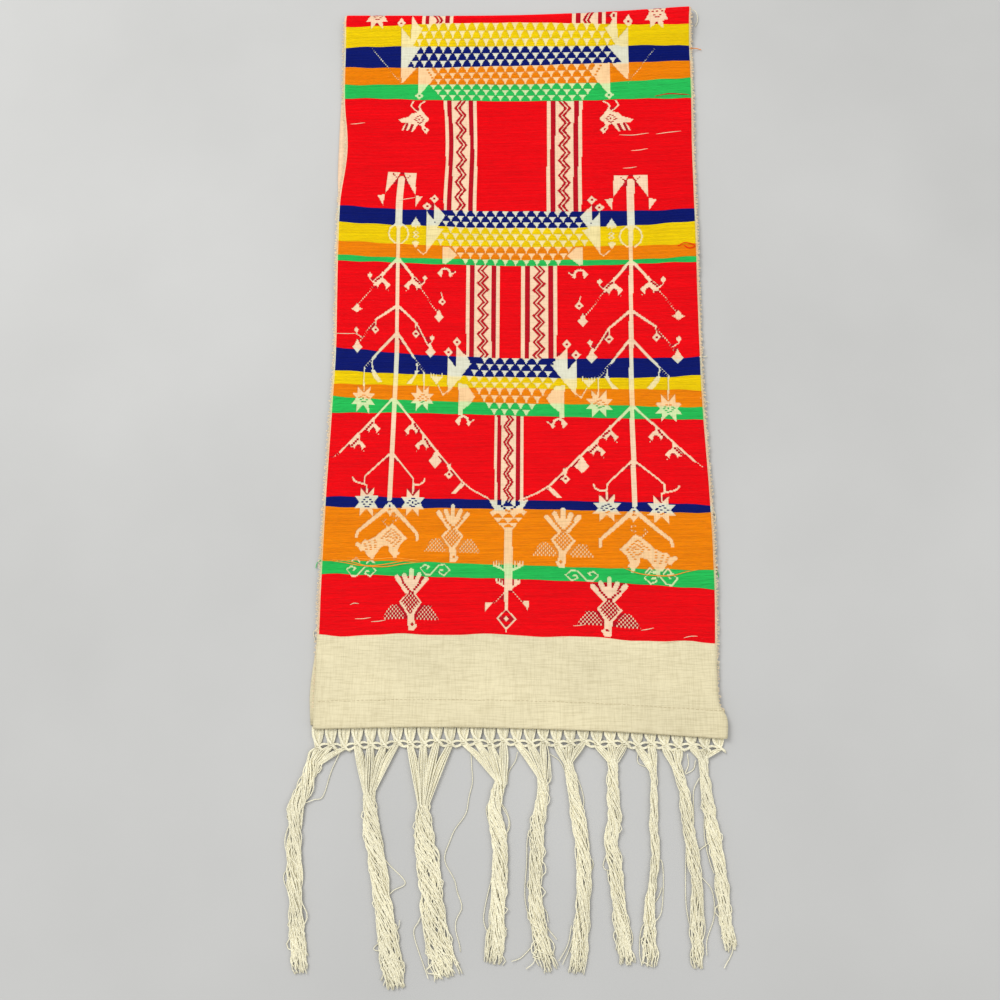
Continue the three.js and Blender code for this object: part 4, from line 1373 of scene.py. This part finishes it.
def tubes(lines, radius, sides=4):
    """Round yarns along lines of points. lines is one array of yarns, points and coordinates."""
    lines = np.asarray(lines, float)
    heading = np.gradient(lines, axis=1)
    heading /= np.linalg.norm(heading, axis=-1, keepdims=True)
    aside = np.cross(heading, [0.0, 0.0, 1.0])
    aside /= np.maximum(np.linalg.norm(aside, axis=-1, keepdims=True), 1e-6)
    above = np.cross(aside, heading)
    angle = (np.arange(sides) + 0.5) * 2 * math.pi / sides
    ring = np.cos(angle)[:, None] * aside[:, :, None] + np.sin(angle)[:, None] * above[:, :, None]
    points = lines[:, :, None] + np.asarray(radius)[..., None, None] * ring
    points[..., 2] = np.maximum(points[..., 2], 0.0)
    yarns, steps = lines.shape[:2]
    index = np.arange(yarns * steps * sides).reshape(yarns, steps, sides)
    turned = np.roll(index, -1, axis=2)
    quads = np.stack([index[:, :-1], turned[:, :-1], turned[:, 1:], index[:, 1:]], axis=-1).reshape(-1, 4)
    faces = quads.tolist() + index[:, 0, ::-1].tolist() + index[:, -1].tolist()
    return points.reshape(-1, 3), faces


def joined(parts):
    """One mesh's points and faces from several."""
    points, faces, count = [], [], 0
    for some_points, some_faces in parts:
        points.append(some_points)
        faces.extend([[corner + count for corner in face] for face in some_faces])
        count += len(some_points)
    return np.concatenate(points), faces


def curve_through(points, share):
    """A smooth curve through points, read at shares of its length."""
    spots = np.asarray(points, float)
    padded = np.concatenate([[2 * spots[0] - spots[1]], spots, [2 * spots[-1] - spots[-2]]])
    fine = []
    for index in range(1, len(padded) - 2):
        a, b, c, d = padded[index - 1:index + 3]
        s = np.linspace(0, 1, 24, endpoint=False)[:, None]
        bend = 2 * a - 5 * b + 4 * c - d
        twist = 3 * b - a - 3 * c + d
        fine.append(0.5 * (2 * b + (c - a) * s + bend * s**2 + twist * s**3))
    fine = np.concatenate([*fine, spots[-1:]])
    length = np.concatenate([[0], np.cumsum(np.linalg.norm(np.diff(fine, axis=0), axis=1))])
    at = np.asarray(share) * length[-1]
    return np.stack([np.interp(at, length, fine[:, axis]) for axis in range(fine.shape[1])], axis=-1)


def knot_x(index):
    return (index - (KNOT_COUNT - 1) / 2) * KNOT_PITCH


def knot_y(index):
    u = knot_x(index) / (KNOT_COUNT * KNOT_PITCH / 2)
    return hem_y(u) - KNOT_DROP + KNOT_SLANT * u + KNOT_WANDER * math.sin(index * KNOT_WANDER_STEP)


def crinkle_along(share):
    """How far one yarn strays to the side of its place in the tassel, more so at the cut end."""
    crinkle = 0
    for _ in range(4):
        size = random.uniform(*CRINKLE_SIZE)
        crinkle += size * np.sin(share * random.uniform(*CRINKLE_RATE) + random.uniform(0, 6.3))
    stray = random.uniform(0.6, 1.0)
    if random.uniform() < STRAY_SHARE:
        stray += random.uniform(0, STRAY_REACH)
    return crinkle * (stray * (1 + 1.2 * ease((share - CUT_START) / (1 - CUT_START))))


def lead_line(knot, yarn, end):
    """The few points of a yarn between its knot and the neck of its tassel."""
    fan = (yarn % YARNS_PER_KNOT / (YARNS_PER_KNOT - 1) - 0.5) * 2
    root = np.array([knot_x(knot) + fan * 2.6, knot_y(knot) - 0.5, 2.0 + 0.9 * math.sin(yarn * 2.4)])
    aside = np.array([fan * 1.8, 0.0, 0.5 * math.sin(yarn * 1.9)])
    below = mix(root, end, np.array([0.48, 0.38, 0.4])) + aside
    return curve_through([root, below, end], np.linspace(0, 1, LEAD_POINTS, endpoint=False))


def tassel_lines(tassel, first_knot):
    """The yarns of one tassel, which turn about its middle line and lie flat at the cut end."""
    knots, neck, width, turns, spread, gather, line = tassel
    count = knots * YARNS_PER_KNOT
    along = np.linspace(0, 1, YARN_POINTS)
    phase = random.uniform(0, 1, count)
    radius = np.sqrt(random.uniform(0.05, 1, count))
    order = np.argsort(np.cos(2 * math.pi * phase) * radius)
    phase, radius = phase[order], radius[order]
    lines = []
    for yarn in range(count):
        knot = first_knot + yarn // YARNS_PER_KNOT
        share = along * (1 - SHORTEST_LOSS * random.uniform() ** 1.5)
        place = curve_through([gather, *line], share)
        heading = np.gradient(place, axis=0)
        heading /= np.linalg.norm(heading, axis=1, keepdims=True)
        wide = (mix(neck, width, ease(share / NECK_RUN)) - 2 * LEAST_HALF_WIDTH) / 2
        wide = wide * mix(1, spread, ease((share - CUT_START) / (1 - CUT_START)))
        angle = 2 * math.pi * (phase[yarn] - turns * (1 - (1 - share) ** 1.4))
        across = wide * radius[yarn] * np.cos(angle) + crinkle_along(share)
        across = np.clip(across, -wide - FARTHEST_STRAY, wide + FARTHEST_STRAY)
        rise = YARN_RADIUS + 0.1 + TASSEL_HEIGHT / 2 * (1 + radius[yarn] * np.sin(angle))
        rise *= mix(1, 0.55, ease((share - 0.7) / 0.3))
        x = place[:, 0] - heading[:, 1] * across
        y = place[:, 1] + heading[:, 0] * across
        body = np.stack([x, y, rise], axis=1)
        lines.append(np.concatenate([lead_line(knot, yarn, body[0]), body]))
    return lines


def loose_lines():
    """The loose strand between two tassels and the single loose yarns, on the floor."""
    steps = np.linspace(0, 1, LINE_POINTS)
    stray = curve_through([(knot_x(STRAY_KNOT), knot_y(STRAY_KNOT)), *STRAY_LINE], steps)
    stray[:, 0] += 0.8 * np.sin(np.linspace(0, 40, LINE_POINTS)) * ease(np.linspace(0, 4, LINE_POINTS))
    lines = [np.column_stack([stray, np.full(LINE_POINTS, YARN_RADIUS)])]
    for points in LOOSE_YARNS:
        height = YARN_RADIUS + 1.6 * np.abs(np.linspace(-1, 1, LINE_POINTS)) ** 3
        lines.append(np.column_stack([curve_through(points, steps), height]))
    return lines


def legs_of_knot(knot):
    """The yarns that run from the cloth's edge into a knot, and the strands that cross over them."""
    x, y = knot_x(knot), knot_y(knot)
    steps = np.linspace(0, 1, 9)
    legs = []
    for side in (-0.5, 0.5):
        root_u = knot_x(knot + side) / (KNOT_COUNT * KNOT_PITCH / 2)
        root_y = hem_y(root_u) + HEM_OVERHANG - 1.5
        bend_y = mix(y, root_y, 0.45)
        for yarn in range(LEG_YARNS):
            fan = yarn / (LEG_YARNS - 1) - 0.5
            start = (x + side * 5.6 + fan * 4.9, root_y, 0.9 + 0.5 * math.sin(yarn * 2 + knot))
            bend = (x + side * 4.3 + fan * 3.4, bend_y, 1.5 + 0.7 * math.sin(yarn + knot * 1.3))
            end = (x + side * 1.2 + fan * 1.8, y - 0.4, 1.9 + 0.8 * math.sin(yarn * 2.2))
            legs.append(curve_through([start, bend, end], steps))
    for offset in (-CROSSING_PITCH, 0.0, CROSSING_PITCH):
        start = (x - 4.8 + offset, root_y, 1.6)
        bend = (x - 3.6 + offset, mix(y, root_y, 0.5), 2.9)
        end = (x + 2.0, y + offset + 0.4, 3.1)
        under = (x + 6.0, y + offset - CORD_SWING, 1.6)
        legs.append(curve_through([start, bend, end, under], steps))
    return legs


def knot_coil(knot):
    """The yarn that is wound about a knot."""
    turn = np.linspace(0, KNOT_TURNS * 2 * math.pi, 26)
    x = knot_x(knot) + KNOT_RADIUS * np.cos(turn + knot)
    y = knot_y(knot) + mix(1.2, -1.4, turn / turn[-1]) + 0.5 * np.sin(turn + knot)
    return np.stack([x, y, 2.25 + 1.5 * np.sin(turn + knot)], axis=1)


def cord_lines():
    """The crossed cords that run from knot to knot."""
    row = np.linspace(0, KNOT_COUNT - 1, 6 * KNOT_COUNT)
    row_y = np.interp(row, np.arange(KNOT_COUNT), [knot_y(knot) for knot in range(KNOT_COUNT)])
    cords = []
    for swing in (-CORD_SWING, CORD_SWING):
        for offset in (-CORD_PITCH, 0.0, CORD_PITCH):
            wave = math.pi * (row + offset * 0.06)
            y = row_y + swing * np.sin(wave) + offset
            cords.append(np.stack([knot_x(row), y, 2.0 + 0.7 * np.cos(wave)], axis=1))
    return cords


def fringe_pieces():
    """The tassels with the loose yarns, and the lattice of legs, knots and cords above them."""
    lines, first_knot = [], 0
    for tassel in TASSELS:
        lines.extend(tassel_lines(tassel, first_knot))
        first_knot += tassel[0]
    loose_ones = loose_lines()
    thick = np.full((len(lines) + len(loose_ones), LINE_POINTS), YARN_RADIUS)
    thick[-len(loose_ones):] = LOOSE_RADIUS
    tassels = add_mesh("fringe_tassels", *tubes(lines + loose_ones, thick), fringe_yarn)
    legs = [leg for knot in range(KNOT_COUNT) for leg in legs_of_knot(knot)]
    knots = [knot_coil(knot) for knot in range(KNOT_COUNT)]
    parts = [tubes(legs, YARN_RADIUS), tubes(knots, KNOT_YARN_RADIUS), tubes(cord_lines(), YARN_RADIUS)]
    lattice = add_mesh("fringe_lattice", *joined(parts), fringe_yarn)
    return [tassels, lattice]


# The loops of the selvedge, the snags and stray picks, and the stitches of the hem
SELVEDGE_END = 752.0
LOOP_RADIUS = 0.42
STRAY_PICK_RADIUS = 0.6
LOOSE_THREAD_RADIUS = 0.4
SNAG_POINTS = 24
STITCHES = 92
STITCH_RUN = 0.013
STITCH_RADIUS = 0.16


def selvedge_loops():
    """The small turns of yarn that stand out along both long edges of the upper layer."""
    lines = []
    for side in (-1, 1):
        place = FOLD_DEPTH + 2
        while place < SELVEDGE_END:
            out, run = random.uniform(0.8, 2.6), random.uniform(1.4, 3.2)
            edge = middle(place + np.array([0, run / 2, run]), side)
            edge[:, 0] += side * np.array([-0.9, out, -0.9])
            edge[1, 1] += random.uniform(-1.2, 1.2)
            edge[:, 2] += np.array([0.4, random.uniform(-0.5, 0.5), 0.4])
            lines.append(curve_through(edge, np.linspace(0, 1, 8)))
            place += run + random.uniform(0.0, 2.0)
    return lines


def on_cloth(points, height):
    """A line of points over the upper layer, from a line on the design."""
    across, down = curve_through(points, np.linspace(0, 1, SNAG_POINTS)).T
    edges = -pick_y(np.arange(len(STRIPES)), 0.0, DESIGN_U)
    stripe = np.searchsorted(edges, down) - 1
    share = (down - edges[stripe]) / (-pick_y(stripe, 1.0, DESIGN_U) - edges[stripe])
    y = pick_y(stripe, share, column_u(across, -down))
    u = column_u(across, y)
    t = fold_y(u) - y
    return middle(t, u) + outward(t, u) * height


def surface_yarns():
    """Snags and stray picks, each thin at both ends."""
    taper = np.sin(np.linspace(0.1, math.pi - 0.1, SNAG_POINTS)) ** 0.5
    snags = [on_cloth(points, THICKNESS / 2) for points in SNAGS]
    made = [add_mesh("snags", *tubes(snags, LOOP_RADIUS * taper), cream_loops)]
    for colour in ("orange", "red"):
        lines = [on_cloth(points, THICKNESS / 2 + 0.1) for name, points in STRAY_PICKS if name == colour]
        stray = tubes(lines, STRAY_PICK_RADIUS * taper)
        made.append(add_mesh("stray_" + colour, *stray, short_materials[colour]))
    return made


def hem_stitches():
    """The running stitches that hold the turned hem."""
    lines = []
    for u in np.linspace(-0.98, 0.98, STITCHES):
        run = u + np.linspace(0, STITCH_RUN, 5)
        y = hem_y(run) + HEM_DEPTH - 1.5 + 0.25 * np.sin(u * 40)
        t = fold_y(run) - y
        lines.append(middle(t, run) + outward(t, run) * (THICKNESS / 2 + 0.02))
    return add_mesh("hem_stitches", *tubes(lines, STITCH_RADIUS), stitch_thread)


def loose_thread_pieces():
    """All the small yarns on and beside the cloth."""
    loops = add_mesh("selvedge_loops", *tubes(selvedge_loops(), LOOP_RADIUS), cream_loops)
    made = [loops, *surface_yarns(), hem_stitches()]
    for colour, threads in LOOSE_THREADS.items():
        lines = [curve_through(thread, np.linspace(0, 1, 20)) for thread in threads]
        material = fringe_yarn if colour == "cream" else weft_materials[colour]
        made.append(add_mesh("loose_" + colour, *tubes(lines, LOOSE_THREAD_RADIUS), material))
    return made


ground = ground_piece()
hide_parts("runner_cloth")
wefts = weft_pieces()
fringe = fringe_pieces()
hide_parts("knotted_fringe")
loose = loose_thread_pieces()

# The floor, the light and the camera
FLOOR_HALF = 4
FLOOR_LEVEL = -0.0004
FLOOR_CORNERS = ((-1, -1), (1, -1), (1, 1), (-1, 1))
floor_corners = [(x * FLOOR_HALF, y * FLOOR_HALF, FLOOR_LEVEL) for x, y in FLOOR_CORNERS]
floor_mesh = bpy.data.meshes.new("floor")
floor_mesh.from_pydata(floor_corners, [], [(0, 1, 2, 3)])
floor_material, floor_shader = node_material("floor", roughness=0.9, sheen=0.0)
floor_grain = stretched_noise(floor_material.node_tree, (3, 3, 3), detail=6.0)
floor_material.node_tree.links.new(
    ramp(floor_material.node_tree, floor_grain, (0.44, 0.44, 0.43, 1), (0.49, 0.49, 0.48, 1)),
    floor_shader.inputs["Base Color"],
)
floor_mesh.materials.append(floor_material)
floor = bpy.data.objects.new("floor", floor_mesh)
bpy.context.collection.objects.link(floor)


def area_light(name, place, size, power):
    """A square light that points at the middle of the frame."""
    light = bpy.data.lights.new(name, "AREA")
    light.energy = power
    light.size = size
    made = bpy.data.objects.new(name, light)
    made.location = place
    made.rotation_mode = "QUATERNION"
    made.rotation_quaternion = (-Vector(place)).to_track_quat("-Z", "Y")
    bpy.context.collection.objects.link(made)


area_light("key", (-1.3, 1.1, 2.3), size=1.6, power=56)
area_light("fill", (1.6, -1.0, 2.2), size=2.4, power=20)
WORLD_STRENGTH = 0.68
world = bpy.data.worlds.new("studio")
world.use_nodes = True
world.node_tree.nodes["Background"].inputs["Color"].default_value = (1.0, 1.0, 1.0, 1)
world.node_tree.nodes["Background"].inputs["Strength"].default_value = WORLD_STRENGTH
bpy.context.scene.world = world
bpy.context.scene.view_settings.view_transform = "Standard"

CAMERA_PLACE = (21.3, -815.8, 959.8)
CAMERA_TURN = ((0.99928, 0.00606, 0.03737), (0.00409, 0.96398, -0.26594), (-0.03763, 0.26590, 0.96327))
camera_data = bpy.data.cameras.new("camera")
camera_data.lens = 37.44
camera_data.sensor_width = 36
camera = bpy.data.objects.new("camera", camera_data)
camera_place = Vector((np.array(CAMERA_PLACE) + SHIFT) / 1000)
camera.matrix_world = Matrix.Translation(camera_place) @ Matrix(CAMERA_TURN).to_4x4()
bpy.context.collection.objects.link(camera)
bpy.context.scene.camera = camera
